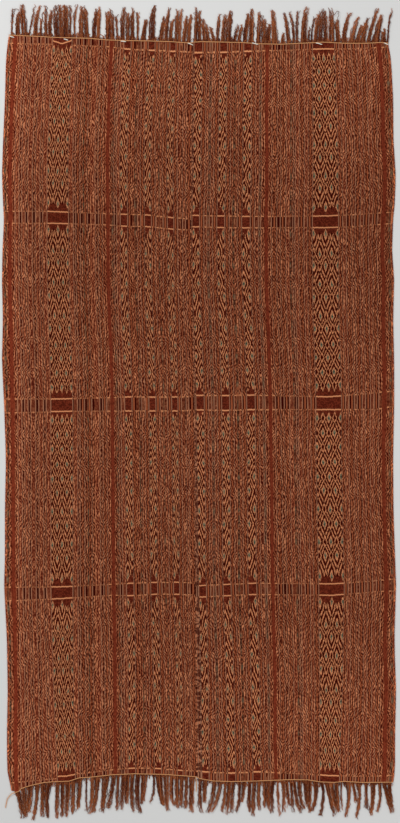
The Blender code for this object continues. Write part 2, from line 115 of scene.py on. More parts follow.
# Where some columns of the layout lie at other courses
DRIFT_COURSES = (49, 218, 404, 590, 768)
DRIFT = {
    "left": (
        (10.5, (15.2, 10.5, 12.8, 14, 16)), (47.5, (53.2, 47.5, 51.3, 51.4, 57.8)),
        (58, (62.4, 58, 62.2, 62, 66.4)), (68.2, (71.6, 68.2, 72.4, 72.5, 75)),
        (124.2, (127.8, 124.2, 128.6, 130.5, 132)), (148, (151.8, 148, 152.4, 154.1, 158.2)),
        (170.6, (173, 170.6, 175, 176.7, 180.5)),
    ),
    "right": (
        (192.4, (194.5, 192.4, 196.4, 199.5, 202.3)), (195.6, (199, 195.6, 200.4, 203, 205)),
        (220.8, (223.8, 220.8, 225.8, 227.5, 231.9)), (246, (248, 246, 251.2, 252.9, 257.4)),
        (266, (267, 266, 270.4, 273.3, 275.6)), (312.7, (312.8, 312.7, 316.3, 319.5, 320)),
        (325.6, (323.5, 325.6, 329, 332.3, 329.6)), (338.2, (334.2, 338.2, 341.2, 344.2, 339.2)),
    ),
}

# How far the inner columns sway beside that drift: pairs of course and columns
LATTICE_SWAY = {
    "left": (
        (49, 0), (80, -1.1), (112, -1.5), (160, -2), (200, -0.6), (218, 0), (260, -1), (310, -0.9),
        (360, 0), (590, 0), (650, -0.6), (720, -1), (768, 0),
    ),
    "right": (
        (49, 0), (120, 0.7), (160, 0.8), (218, 0), (260, -0.8), (310, -1.2), (360, -0.3), (404, 0),
        (440, -1), (510, -0.7), (590, -0.3), (620, -0.4), (680, 0.5), (768, 0),
    ),
}
SWAY = {
    "left": (
        (49, 0), (80, -1.1), (112, -1.7), (160, -2), (200, -0.7), (218, 0), (260, -1), (290, -1.4),
        (322, -0.8), (360, 0), (590, 0.1), (650, 1), (700, 0.8), (745, 0.1), (768, 0),
    ),
    "right": (
        (49, 0), (80, 0.2), (112, -0.1), (150, 0.3), (182, 0.6), (218, 0), (260, -0.9), (290, -1.3),
        (322, -0.5), (360, -0.2), (404, 0), (440, -0.2), (500, 0), (567, -0.8), (590, -0.3), (620, -0.3),
        (680, 0.5), (742, -0.2), (768, 0),
    ),
}

# Courses near the cloth's ends, at which each column's stop is looked up
UPPER_COURSE = 40.0
LOWER_COURSE = 780.0

# Cross bands, column by column: the top line, the middle and half height of each band, the foot line
BANDS = {
    "left": (
        (3.9, 43.5, 217.3, 6, 406, 7.1, 594, 6.9, 783), (46.7, 44.5, 217.3, 6, 405.5, 6.5, 593, 6.1, 778.5),
        (47.5, 41, 217.3, 5.9, 405.3, 6.3, 592.9, 6, 776.2),
        (58, 43.8, 217.6, 5.8, 405.1, 6.3, 592.6, 5.8, 776),
        (68.2, 40.6, 217.9, 5.8, 405, 6.3, 592, 5.8, 774.3),
        (69, 45.5, 217.9, 5.8, 405, 6.4, 592, 5.8, 774),
        (107, 47, 219.4, 5.6, 404.3, 6.8, 589.7, 5.5, 769.5),
        (124.2, 49.5, 220.3, 6, 403.9, 7.1, 589.5, 6.2, 768),
        (148, 50.5, 220.8, 5.8, 404, 7, 588.2, 6, 768.3),
        (170.6, 51.5, 223.3, 5.7, 404, 7, 588.2, 6, 770.3), (191, 52.5, 224.6, 5.4, 403.5, 7, 589, 6, 771),
    ),
    "right": (
        (191, 53, 221, 5.7, 402.6, 7.3, 591.4, 5.7, 771.4),
        (220.8, 52.5, 221.8, 5.8, 403, 7.6, 590, 5.6, 773.1),
        (246, 51.5, 222.2, 5.7, 402.4, 7.4, 588.8, 5.6, 771.4),
        (325.6, 49, 221.8, 5.8, 403.2, 6.4, 589.5, 5.7, 775.4),
        (356, 49, 220.7, 6.1, 402, 7.6, 587.5, 5.5, 776), (373, 48, 219.2, 5.7, 401.3, 8.5, 586, 5.4, 776),
        (393, 47, 217.8, 5.7, 398.5, 7.7, 584.8, 6, 775),
    ),
}

# Rows of hearts between two lines, as shares of the way from the first or third band. Rows take
# turns: an even row has its hearts on the even columns of the lattice, an odd row on the odd ones
ROWS = {
    "upper": (0.048, 0.168, 0.239, 0.353, 0.424, 0.539, 0.617, 0.706, 0.783, 0.866, 0.941),
    "upper middle": (0.035, 0.157, 0.224, 0.337, 0.41, 0.529, 0.597, 0.695, 0.768, 0.854, 0.933),
    "lower middle": (0.041, 0.164, 0.239, 0.345, 0.426, 0.538, 0.615, 0.698, 0.785, 0.865, 0.951),
    "lower": (0.037, 0.165, 0.229, 0.337, 0.406, 0.526, 0.593, 0.698, 0.773, 0.863, 0.939),
}

# The knots of a column, from 0, that a section of rows follows: its name, and whether its shares
# are counted from its lower end. Then the last knot that a next one follows
SECTIONS = {1: ("upper", True), 4: ("upper middle", False), 7: ("lower middle", True), 10: ("lower", False)}
LAST_KNOT = 11

# One row's share of the way, beyond the first and the last, and the courses from a band's middle
# to its lines once the bands are drawn to one height
ROW_SHARE = 0.0915
LINE_REACH = 6.0

# Columns from one small zigzag to the next, how far each swings over two rows of hearts and over
# one, and courses from one bead of a zigzag to the next
PITCH = 2.3
WIDE_SWING = 3.6
NARROW_SWING = 2.2
BEAD_PITCH = 4.7

# A heart's slope, the metres from one rib of the weave to the next and up to its top, and how
# strongly the ribs show
HEART_SLOPE = 1.08
RIB_PITCH = 0.0013
RIB_HEIGHT = 0.0003
RIB_STRENGTH = 0.35

# The first column, at the first band, of every stripe of each kind; a stripe reaches to the next one.
# R rust, G guard line, M brown, K dark, D dots, O orange, Y grey, S selvedge, L lattice, C chain,
# and with no letter where the last stripe stops
STRIPES = {
    "left": {
        "R": (8.5, 106),
        "G": (
            14.8, 18.8, 21.5, 24.9, 27.3, 32.1, 35.1, 39.6, 42.2, 46.7, 68.2, 73, 75.4, 79.9, 87.1, 95.1,
            98, 102, 113.8, 116.3, 119.9, 127.2, 137, 140.4, 144.1, 151.1, 155.3, 162.7, 166.9, 173.4,
            177.2, 182.1, 185,
        ),
        "M": (15.6, 22.3, 28.1, 35.9, 43, 70.2, 90.5, 117.1),
        "K": (
            19.6, 25.6, 32.9, 40.4, 69, 73.8, 76.2, 79.1, 80.7, 86.2, 87.9, 95.9, 98.8, 101.1, 113.1, 114.6,
            128, 130.2, 135.9, 143.2, 151.9, 154.3, 163.5, 166, 174.2, 176.2, 180.6, 185.8, 189.6,
        ),
        "D": (7.1, 12.6, 102.8, 110, 132.4, 137.8, 156.1, 160.2, 178, 182.9),
        "O": (78, 84.6, 99.9, 128.8, 141.2, 152.8, 164.6, 174.8, 188.2),
        "Y": (5.2, 83, 111.8, 134.4, 158.8),
        "S": (3.9,),
        "L": (47.5, 52.6, 58, 63.2),
        "C": (120.7, 144.9, 167.7),
        "": (191,),
    },
    "right": {
        "R": (264.1, 380.6),
        "G": (
            191.4, 192, 199.1, 203.3, 206.4, 208.8, 212, 216.3, 224.3, 228.7, 236.7, 241.2, 249.8, 253.9,
            257.9, 260.1, 270.9, 276.2, 279.8, 285.1, 292.3, 294.3, 298.3, 303.4, 307, 311.9, 338.2, 342.2,
            346, 351.4, 354.5, 359.6, 363.2, 368.2, 372.1, 376.7,
        ),
        "M": (285.9, 295.1, 304.2, 343, 360.4, 369),
        "K": (
            191, 191.7, 199.9, 202.2, 212.8, 215.2, 225.1, 227.5, 237.5, 240.4, 250.6, 253.3, 271.7, 275,
            277, 280.6, 283.2, 291, 293.1, 299.1, 302, 307.8, 310.4, 339, 341, 346.8, 350.1, 355.3, 358.3,
            364, 367, 372.9, 375.3,
        ),
        "D": (204.1, 209.6, 229.5, 234.3, 254.7, 260.9, 268.1, 352.2, 377.5, 385.5),
        "O": (200.7, 213.7, 226, 238.9, 252, 273.7, 282, 300.7, 308.8, 339.7, 348.8, 356.9, 365.6, 374),
        "Y": (207.2, 231.7, 258.7, 289.4, 388.2),
        "S": (390.8,),
        "L": (312.7, 319.2, 325.6, 332),
        "C": (192.4, 217.1, 242),
        "": (393,),
    },
}

# Columns that the nested figures are centred on, and each lattice's own centre and cell width
AXES = (30.4, 58, 87, 107.8, 136.2, 159.4, 182, 208, 233.3, 256.8, 290.6, 325.6, 359.7)
CELLS = {"left": (58.0, 4.75), "right": (325.6, 6.0)}

# Half a lattice's width in columns, the share by which a chain's hearts reach beyond it, and the
# chains whose hearts stand at the other side, by their first column
LATTICE_HALF = 14.0
CHAIN_OVERHANG = 0.24
FLIPPED_CHAINS = (144.9, 217.1, 242.0)

# Locks of fringe, in order along each end: the root's columns, then the column,
# course and width halfway along, then the same at the tip
Lock = namedtuple("Lock", "left right mid_column mid_course mid_width tip_column tip_course tip_width")
LOCK_ROWS = {
    "top_left": (
        (11, 12.4, 12.2, 20, 1, 13.6, 8.8, 1), (15.3, 20, 17.6, 24, 3.4, 18.3, 13, 1.2),
        (21.5, 27, 23, 18, 4.4, 22, 4.6, 1.6), (28, 29.3, 31.9, 21, 1.1, 34.9, 5.1, 0.9),
        (34, 37.8, 36.2, 21, 3, 40.6, 6.1, 1), (39.8, 42, 40.9, 26, 1.6, 41.2, 18, 1),
        (45.2, 47.5, 45.3, 20, 3, 44.9, 5.1, 2.4), (48.8, 52.8, 50.2, 22, 3.2, 52.2, 10.2, 1.6),
        (53.9, 59, 56.6, 20, 5.6, 57.8, 4.8, 4), (59.4, 65.4, 62.2, 20, 6.4, 62.9, 5, 4.4),
        (65.4, 71.2, 68, 20, 5.6, 67.8, 5.1, 3.6), (74, 75.4, 74.6, 21, 1.2, 76.8, 5.1, 1),
        (79, 83.4, 81, 22, 3.6, 81.8, 6.5, 1.4), (84.2, 89, 85.6, 21, 3.8, 84.6, 4.8, 1.6),
        (92, 95.6, 94.8, 21, 2.6, 97, 9, 1.3), (96.4, 100, 98.8, 20, 3, 99.9, 6.6, 1.4),
        (105.4, 109.2, 107.4, 24, 3.2, 107.6, 12, 2), (110, 114.3, 111.6, 23, 3.6, 111.2, 9.2, 2),
        (116.8, 118.6, 116.7, 25, 1.2, 116.2, 16.5, 1), (120.7, 124.6, 122.8, 22, 3.6, 124.4, 7.1, 1.4),
        (125.4, 129.4, 127.8, 24, 3.6, 128.4, 12.5, 2), (130.2, 134.5, 132.4, 22, 3.6, 132.8, 8.2, 1.4),
        (136, 138.6, 137.8, 23, 2.2, 136.9, 12.2, 1.2), (141, 145.6, 145, 26.5, 3, 147.6, 20.5, 1.4),
        (149, 154.5, 152.2, 22, 4.2, 154.5, 5.9, 1.4), (158.3, 163, 162.6, 26, 2.6, 165, 17, 1.2),
        (163.8, 168, 167, 24, 2.6, 168.7, 8.2, 1.4), (168.8, 172.4, 171.4, 27, 2.4, 173.6, 19.5, 1.2),
        (174, 177, 176.4, 24, 2.4, 177.4, 9.7, 1.2), (177.8, 181, 180, 24, 2.6, 181.4, 9.2, 1.2),
        (182, 185.8, 185.6, 27, 2.8, 186.8, 15.5, 1.4), (186.6, 190.8, 189.4, 26, 3.2, 191, 14.8, 1.6),
    ),
    "top_right": (
        (193.8, 197.2, 195.8, 25, 3, 195.9, 7.1, 1.4), (198, 201.6, 199.4, 25, 2.8, 199.9, 11.2, 1.2),
        (202.6, 205.8, 203.4, 30, 2.4, 202.6, 19, 1.2), (206.6, 210.4, 207, 32, 2.6, 205.4, 24, 1.2),
        (212.7, 215.2, 212.1, 34, 2, 209.6, 27, 1), (216, 218.8, 218.2, 28, 2.6, 219.8, 14.3, 1.2),
        (220.3, 224.8, 223.8, 28, 3.4, 225.4, 15, 1.6), (225.6, 231, 229.2, 26, 4, 230.8, 10.7, 1.6),
        (233.4, 236.2, 236, 33, 2.2, 238.6, 25, 1.2), (237, 240.2, 240.2, 33, 2.4, 242.2, 24.5, 1.2),
        (242.4, 247.4, 246.4, 28, 3.8, 248.4, 14, 1.6), (248.2, 253.6, 251.6, 26, 4, 251.8, 8.9, 1.6),
        (256, 260.2, 259, 27, 3.4, 260, 12.2, 1.6), (261, 265.2, 263.6, 28, 3.4, 264, 16.3, 1.6),
        (266, 270.4, 268.2, 32, 3.2, 269, 24.5, 1.4), (271.8, 278, 273.8, 26, 4.2, 272, 10.5, 1.6),
        (281, 284.2, 283, 38, 2.4, 283.6, 33, 1.2), (286, 290.4, 286.8, 28, 2.8, 284, 13.3, 1.2),
        (292.6, 295, 292.8, 26, 2, 289.4, 12.2, 1), (295.8, 298.2, 297, 26, 2.4, 297.6, 11.2, 1.4),
        (300.4, 306.2, 304.4, 24, 4.2, 307, 7.1, 1.4), (308, 309.4, 308.9, 34, 1.1, 309.2, 26.5, 1),
        (310.6, 312.2, 312.4, 28, 1.6, 315.4, 17, 1), (313.2, 317.4, 316.8, 28, 3.2, 318.8, 14.6, 1.6),
        (318.2, 322.4, 320.8, 26, 3.2, 321.9, 8.7, 1.6), (323.2, 327.6, 325.2, 27, 3.6, 324.9, 11.5, 1.6),
        (329, 334.2, 331.4, 25, 4, 331, 8.2, 1.6), (335.4, 340.2, 337.4, 32, 3.4, 337, 20, 1.4),
        (342, 346.8, 345.4, 28, 3.4, 350, 13.2, 1.8), (349.2, 354.2, 353.6, 31, 3.2, 358.4, 17, 1.2),
        (355, 359.6, 359.4, 33, 3, 362.2, 25, 1.4), (360.4, 365.2, 364.4, 31, 3.2, 368, 18.5, 1.4),
        (366, 370.4, 371.6, 28, 2.8, 377.8, 8.5, 1.2), (371.8, 378.4, 378.4, 28, 3.2, 381, 15, 1.4),
        (380.4, 386.2, 383.8, 36, 3.6, 384, 29, 1.6), (387, 388.4, 389, 24, 1.2, 392.5, 8, 1),
    ),
    "bottom_left": (
        (15.6, 20.6, 20.2, 803, 3.4, 22.6, 818, 2), (21.4, 27.2, 25.2, 803, 3.8, 26, 816.5, 1.6),
        (28, 33.6, 29.8, 800, 3.2, 28.8, 812, 1.4), (34.6, 39.6, 36.6, 799, 2.6, 33.4, 819.6, 1.6),
        (40.4, 45.6, 42.6, 800, 3.4, 42.4, 816.2, 2), (46.4, 52.4, 46.9, 800, 2.8, 48.4, 818, 1),
        (55, 59.8, 56.9, 800, 3, 57, 818, 1.6), (60.6, 65, 62.6, 800, 2.6, 61.8, 816, 1.6),
        (65.8, 70.6, 67.4, 800, 3, 65.8, 816.4, 1.8), (71.4, 75.6, 73, 799, 2.6, 72.4, 814, 1.6),
        (76.4, 82.6, 79, 797, 2.8, 76.6, 811.6, 1.6), (86, 87.4, 86.2, 797, 1.2, 87.2, 811, 1),
        (89.8, 94, 91.6, 798, 2.6, 89.8, 813.5, 1.6), (94.8, 99.6, 95.8, 796, 2.8, 92.8, 812.5, 1.4),
        (102.4, 109.6, 104, 797, 3.4, 102.2, 811.6, 1.6), (111.8, 116.4, 110.6, 797, 3, 107.6, 808.4, 1.6),
        (117.2, 119.8, 117.2, 797, 2.2, 117.4, 809.6, 1.4), (121.6, 125, 122, 796, 2.6, 121, 809.4, 1.4),
        (125.8, 130.2, 126.8, 794, 3.4, 126.4, 803.6, 1.8), (131, 134.8, 131.8, 796, 3, 134.6, 811, 1.6),
        (136, 140.4, 137.2, 796, 3, 140.4, 813, 1.4), (141.2, 147.6, 142.6, 794, 3.4, 142.2, 804, 1.6),
        (152.6, 154.4, 153.6, 791, 1.5, 149.4, 803.6, 1), (155.4, 162, 161.2, 797, 2.6, 164.2, 804.5, 1.2),
        (163.6, 168.6, 166.6, 796, 3, 167.8, 810.4, 1.4), (170.4, 174, 171.8, 795, 2.4, 174.8, 806, 1.4),
        (174.8, 179.2, 177, 796, 3, 177.8, 808, 1.6), (180, 183.6, 181.2, 796, 2.8, 181.6, 807.4, 1.4),
        (184.6, 188.2, 186, 796, 2.2, 184.9, 808.6, 1.4), (189.6, 194.6, 191.6, 797, 3.2, 191.2, 812, 1.6),
    ),
    "bottom_right": (
        (198.6, 202.4, 199.8, 796, 2.8, 201.6, 812.8, 1.4),
        (203.2, 207.6, 204.6, 793, 2.8, 204.6, 802, 1.2), (212.4, 216, 212.6, 797, 2.8, 208, 812.6, 1.2),
        (218.4, 222.6, 217.6, 797, 2.4, 211.8, 811.6, 1.4),
        (223.4, 226.4, 224.4, 796, 1.8, 221.8, 811.8, 1.2),
        (227.4, 231.2, 228.4, 797, 2.8, 226.6, 813.6, 1.6),
        (232, 235.6, 232.4, 796, 2.8, 231.4, 812.4, 1.4),
        (237.8, 241.4, 239.2, 797, 2.2, 237.2, 812.4, 1.4),
        (242.4, 246.8, 243, 793, 2.2, 241.6, 801.5, 1.1), (248, 251.8, 249.2, 798, 2.8, 249.4, 811.4, 1.6),
        (252.6, 256.6, 253.6, 798, 3, 252.8, 815.8, 1.8), (257.4, 261, 258.6, 798, 2.8, 259.6, 809.6, 1.6),
        (262.4, 266.4, 264.8, 796, 2.6, 264.4, 807.6, 1.4),
        (267.2, 270.4, 268.2, 797, 2.2, 268.2, 813.6, 1.2),
        (271.2, 274.6, 271.8, 795, 2.2, 271.6, 812.8, 1.4),
        (276.8, 279, 277.8, 797, 1.8, 279.6, 815.4, 1.6), (280.2, 284, 284, 794, 2.2, 282.9, 811.6, 1.4),
        (285, 288, 288.2, 797, 2, 289.8, 805.4, 1.1), (288.8, 291.8, 291.8, 796, 2.2, 292.8, 812, 1.6),
        (292.6, 296.2, 296.4, 798, 2.4, 300.6, 813.4, 1.4),
        (297, 301.6, 300.2, 796, 2.6, 303.6, 808.8, 1.4), (302.6, 307.2, 306.2, 797, 2.2, 306.4, 806, 1.2),
        (308, 312.2, 309.8, 796, 2.4, 309, 812.6, 1.4), (313, 318.6, 315.8, 797, 2.6, 312.4, 811.8, 1.4),
        (319.8, 323, 323, 797, 2, 320, 815, 1.8), (324, 328.4, 329.8, 798, 2.2, 334, 815.6, 1.6),
        (329.2, 333.6, 333.2, 797, 2.6, 336.2, 814, 1.4), (334.4, 338.8, 337.2, 797, 2.8, 338.6, 812, 1.6),
        (340.8, 342.2, 341.2, 797, 1.2, 342.4, 810.8, 1), (345, 350.4, 348.6, 799, 2.2, 345.6, 816.6, 1.4),
        (351.4, 354.6, 355, 795, 1.8, 355.8, 802, 1.1), (355.4, 360.4, 359.4, 797, 2.4, 355.8, 818, 1.6),
        (364, 367.6, 366.2, 797, 2, 366.4, 808.4, 1.2), (369.6, 375.8, 373, 798, 3, 370.6, 815, 1.4),
        (377.2, 380.8, 380, 797, 1.8, 377, 811, 1.2), (382, 386.4, 387, 797, 2.2, 390.6, 812.8, 1.4),
        (387.2, 391.6, 390.4, 796, 2.4, 393.2, 812, 1.4),
    ),
}
LOCKS = {end: [Lock(*row) for row in rows] for end, rows in LOCK_ROWS.items()}

# Points along each lock beyond its first, and their height over the surface
LOCK_STEPS = 22
LOCK_HEIGHT = 0.0013

# The fringe's short tufts: columns from one to the next, the most they lean, how far they reach,
# half their width and their yarns
TUFT_SPACE = 1.7
TUFT_LEAN = 2.0
TUFT_REACH = (1.5, 5.5)
TUFT_HALF = 0.6
TUFT_YARNS = 2.2

# Yarns in a lock: for each column of its root, and beside those. Then the sides of a yarn and a ply
YARNS_PER_COLUMN = 2.3
YARNS_BESIDE = 1.8
YARN_SIDES = 4
PLY_SIDES = 5

# How the yarns of a lock differ, from least to most: their crimp in radians to a metre and in
# metres, their stray beside each other, their lift, where they break off and their thickness
CRIMP_TURN = (620.0, 900.0)
CRIMP_REACH = (0.0004, 0.0013)
YARN_STRAY = (-0.3, 0.3)
YARN_LIFT = (0.0, 0.0014)
YARN_BREAK = (0.72, 1.2)
YARN_THICKNESS = (0.75, 1.1)
SWAY_GRAIN = 95.0

# Loose strands that stray from the locks: column and course of each point, then their height
STRANDS = {
    "top_left": (
        ((12.2, 20), (12.2, 11), (15.8, 8.4), (18.9, 12.8), (16.3, 30.6)),
        ((99.8, 35), (103, 35.6), (106, 38)), ((116.6, 25), (115.6, 19), (118.6, 14.9), (123.8, 14.8)),
        ((71, 24), (71.4, 19), (72.4, 15.3)),
    ),
    "top_right": (
        ((334, 15), (336.8, 12), (338.9, 12), (338.4, 20), (339.6, 27.6)),
        ((254.6, 30), (255.2, 27), (256.5, 24.5)),
    ),
    "bottom_left": (((47, 800), (46.6, 812), (49, 818.6)), ((191.9, 790), (192.5, 801), (191.6, 806))),
    "bottom_right": (
        ((213.2, 784), (211.6, 790), (208.6, 796.6)), ((198.4, 798), (197.6, 803), (196.3, 807.8)),
        ((232.6, 800), (233.4, 806), (233.6, 810.4)), ((289.4, 798), (288.8, 803), (287.4, 808.3)),
        ((365, 800), (364.8, 805), (363.9, 809.4)),
        ((365.4, 801), (366.4, 807), (368, 809.6), (369.8, 806.6), (371, 800)),
    ),
}
STRAND_HEIGHT = 0.0026

# Loose ends of the twining: column, course, and height of the cord's middle in radii
CORNER_TAIL = (
    (5.5, 807.5, 1.3), (6.5, 803, 1.3), (7.3, 799, 1.4), (9.4, 796, 1.7), (12, 793.4, 2.5),
    (15, 792.2, 2.5),
)
SEAM_TAIL = (
    (195.3, 776.5, 2.5), (195.9, 777.8, 2.5), (196.1, 780, 2.5), (196.3, 782.4, 1.8), (196.6, 785.6, 1.3),
    (196.6, 788.6, 1.3), (196.1, 791.4, 1.3),
)
TWINING_RADIUS = 0.0012

# Metres between the points of a twisted line, and one full twist of the threads
PLY_STEP = 0.001
THREAD_PITCH = 0.004

# White thread tacks along the upper end: first and last column and course
TACKS = (
    (9, 36, 14, 37.6), (64, 39, 68, 40.4), (121, 41.2, 126, 41.8), (188, 43.2, 193, 45.2),
    (252, 43, 258, 44.6), (316, 43, 322, 44.6), (384, 43, 388, 44.8),
)

# Seam stitches: courses of the first and the end of the seam, and from one stitch to the next; then
# the columns and courses that a stitch reaches to each side
SEAM_FIRST = 46.0
SEAM_LAST = 774.0
STITCH_SPACE = 4.0
STITCH_REACH = 0.9
STITCH_SLANT = 0.7

# Arches of a seam stitch and of a tack: share of the way and height
SEAM_ARCH = ((-1.0, 0.0013), (-0.6, 0.002), (0.0, 0.0022), (0.6, 0.002), (1.0, 0.0013))
TACK_ARCH = ((0.0, 0.0014), (0.12, 0.0034), (0.5, 0.0046), (0.88, 0.0034), (1.0, 0.0014))
SEAM_RADIUS = 0.00045
TACK_RADIUS = 0.0016

# The map named OFBake, for baking: its margin, where its second half starts and the most it spans
MAP_MARGIN = 0.01
MAP_HALF = 0.505
MAP_REACH = 0.97

# The photograph's frame, the view, the floor and the lights: name, place, power and size
FRAME_COLUMNS = 400.0
FRAME_COURSES = 823.0
CAMERA_HEIGHT = 7.0
FILM = 36.0
FLOOR_HEIGHT = -0.0005
FLOOR_HALF = 20.0
FLOOR_COLOUR = (0.8, 0.8, 0.79, 1.0)
FLOOR_ROUGHNESS = 0.9
WORLD_LIGHT = 0.34
LIGHTS = (
    ("Key light", (-2.2, 2.4, 3.2), 100.0, 2.0),
    ("Fill light", (2.4, -1.8, 3.2), 48.0, 2.5),
)

# Painted light and shade: where the cloth is painted paler, as if lit more strongly: metres from its middle
# where that starts and where it is full, and the share of light added. Then the middle and reach of a band
# of painted shade, and the share taken there
LEFT_PAINTED_LIGHT = (-0.425, -0.49, 0.26)
LOWER_PAINTED_LIGHT = (-0.45, -0.95, 0.17)
UPPER_PAINTED_LIGHT = (0.6, 0.92, 0.09)
SHADE_PLACE = (0.42, 0.5)
SHADE = 0.08

# Grain of the dyed yarns: features to a metre, how far they are drawn out along the warp, and
# detail. Slips of single yarns, speckles, pale yarns, broad zones, streaks and fine specks
SLIP_GRAIN = (420.0, 0.05)
SPECKLE_GRAIN = (360.0, 0.45)
PALE_GRAIN = (400.0, 0.11)
BROAD_GRAIN = (3.2, 1.0, 3.0)
STREAK_GRAIN = (520.0, 0.012)
SPECK_GRAIN = (900.0, 0.4)
WANDER_GRAIN = 55.0

# Courses that a slip moves a yarn by, courses in one row of hearts, columns that the zigzags
# wander by, the cloth's own tone, and the share of light that each grain adds at its most
SLIP_REACH = 3.4
ROW_COURSES = 16.0
WANDER_REACH = 1.5
BASE_TONE = 0.62
BROAD_TONE = 0.2
STREAK_TONE = 0.3
SPECK_TONE = 0.26

# The roughness of cloth, fringe yarn and thread, and the faint shine of every material
CLOTH_ROUGHNESS = 0.92
YARN_ROUGHNESS = 0.95
THREAD_ROUGHNESS = 0.9
SHEEN = 0.02


def paint(red, green, blue):
    """Turn a screen colour from 0 to 255 into linear light."""
    parts = []
    for level in (red, green, blue):
        share = level / 255.0
        parts.append(share / 12.92 if share <= 0.04045 else ((share + 0.055) / 1.055) ** 2.4)
    return (*parts, 1.0)


# Dyes beside those in the settings
BAND_MAROON = paint(76, 24, 13)
BEAD_MAROON = paint(84, 26, 15)
DOT_MAROON = paint(66, 10, 4)
SELVEDGE_RUST = paint(104, 38, 22)
GREY_MAROON = paint(58, 26, 16)
FIELD_BROWN = paint(150, 80, 51)
DOT_TAN = paint(216, 142, 96)
SELVEDGE_TAN = paint(226, 130, 82)
GREY_BROWN = paint(128, 92, 68)
TEAL = paint(28, 42, 38)
SEAM_COLOUR = paint(120, 70, 48)
TACK_COLOUR = paint(255, 250, 236)


class Term:
    """A node socket that ordinary arithmetic builds on, in a shader or a geometry tree."""

    def __init__(self, tree, socket):
        self.tree = tree
        self.socket = socket

    def node(self, kind, output, inputs, **settings):
        """Add any other node to the same tree and give one of its outputs."""
        return add_node(self.tree, kind, output, inputs, **settings)

    def maths(self, operation, *others):
        """Feed this and the others to one math node."""
        return self.node("ShaderNodeMath", 0, dict(enumerate((self, *others))), operation=operation)

    def vector(self, operation, other):
        """Feed this and another vector, or a scale, to one vector math node."""
        inputs = {0: self, "Scale" if operation == "SCALE" else 1: other}
        return self.node("ShaderNodeVectorMath", 0, inputs, operation=operation)

    def upward(self):
        """Give a vector of this length straight up."""
        return self.node("ShaderNodeCombineXYZ", 0, {2: self})

    def parts(self):
        """Give a vector's three parts."""
        first = self.node("ShaderNodeSeparateXYZ", 0, {0: self})
        return [Term(self.tree, socket) for socket in first.socket.node.outputs]

    def noise(self, scale, along=1.0, detail=1.0):
        """Give smooth noise from 0 to 1 about 0.5, drawn out along the warp where along is small."""
        inputs = {"Vector": self.vector("MULTIPLY", (1.0, along, 1.0)), "Scale": scale, "Detail": detail}
        return self.node("ShaderNodeTexNoise", 0, inputs)

    def mix(self, first, second):
        """Blend two colours by this share."""
        return self.node("ShaderNodeMix", 2, {0: self, 6: first, 7: second}, data_type="RGBA")

    def __add__(self, other):
        return self.maths("ADD", other)

    def __radd__(self, other):
        return self.maths("ADD", other)

    def __sub__(self, other):
        return self.maths("SUBTRACT", other)

    def __rsub__(self, other):
        return (self * -1.0).maths("ADD", other)

    def __mul__(self, other):
        return self.maths("MULTIPLY", other)

    def __rmul__(self, other):
        return self.maths("MULTIPLY", other)

    def __truediv__(self, other):
        return self.maths("DIVIDE", other)

    def __rtruediv__(self, other):
        return self.maths("POWER", -1.0) * other

    def __abs__(self):
        return self.maths("ABSOLUTE")

    def least(self, other):
        """Take the smaller of two values."""
        return self.maths("MINIMUM", other)

    def most(self, other):
        """Take the larger of two values."""
        return self.maths("MAXIMUM", other)

    def rise(self, low, high):
        """Go smoothly from 0 at low to 1 at high."""
        inputs = {"Value": self, "From Min": low, "From Max": high, "To Min": 0.0, "To Max": 1.0}
        return self.node("ShaderNodeMapRange", 0, inputs, interpolation_type="SMOOTHSTEP")

    def ridge(self, middle, reach):
        """Give 1 at the middle and 0 beyond its reach."""
        return (abs(self - middle) / reach).rise(1.0, 0.0)

    def wrap(self, span):
        """Repeat from 0 to the span."""
        return self.maths("FLOORED_MODULO", span)

    def fold(self, span):
        """Swing evenly between 0 and half the span, from 0 at every whole number of spans."""
        half = span / 2.0
        return abs((self + half).wrap(span) - half)


def add_node(tree, kind, output, inputs, **settings):
    """Add a node, feed its inputs by name or place, and wrap one of its outputs."""
    node = tree.nodes.new(kind)
    for name, value in settings.items():
        setattr(node, name, value)
    for name, value in inputs.items():
        socket = node.inputs[name]
        if isinstance(value, Term):
            tree.links.new(value.socket, socket)
        else:
            socket.default_value = value
    return Term(tree, node.outputs[output])


def scale_colour(tree, colour, amount):
    """Make a colour lighter or darker."""
    return add_node(tree, "ShaderNodeVectorMath", 0, {0: colour, "Scale": amount}, operation="SCALE")


def read_map(tree, name):
    """Read the two parts of a mesh's own map."""
    return add_node(tree, "ShaderNodeUVMap", 0, {}, uv_map=name).parts()[:2]


def start_material(name, roughness):
    """Make a material and give its node tree and its main shader."""
    material = bpy.data.materials.new(name)
    material.use_nodes = True
    tree = material.node_tree
    shader = tree.nodes["Principled BSDF"]
    shader.inputs["Roughness"].default_value = roughness
    shader.inputs["Metallic"].default_value = 0.0
    shader.inputs["Specular IOR Level"].default_value = SHEEN
    return material, tree, shader


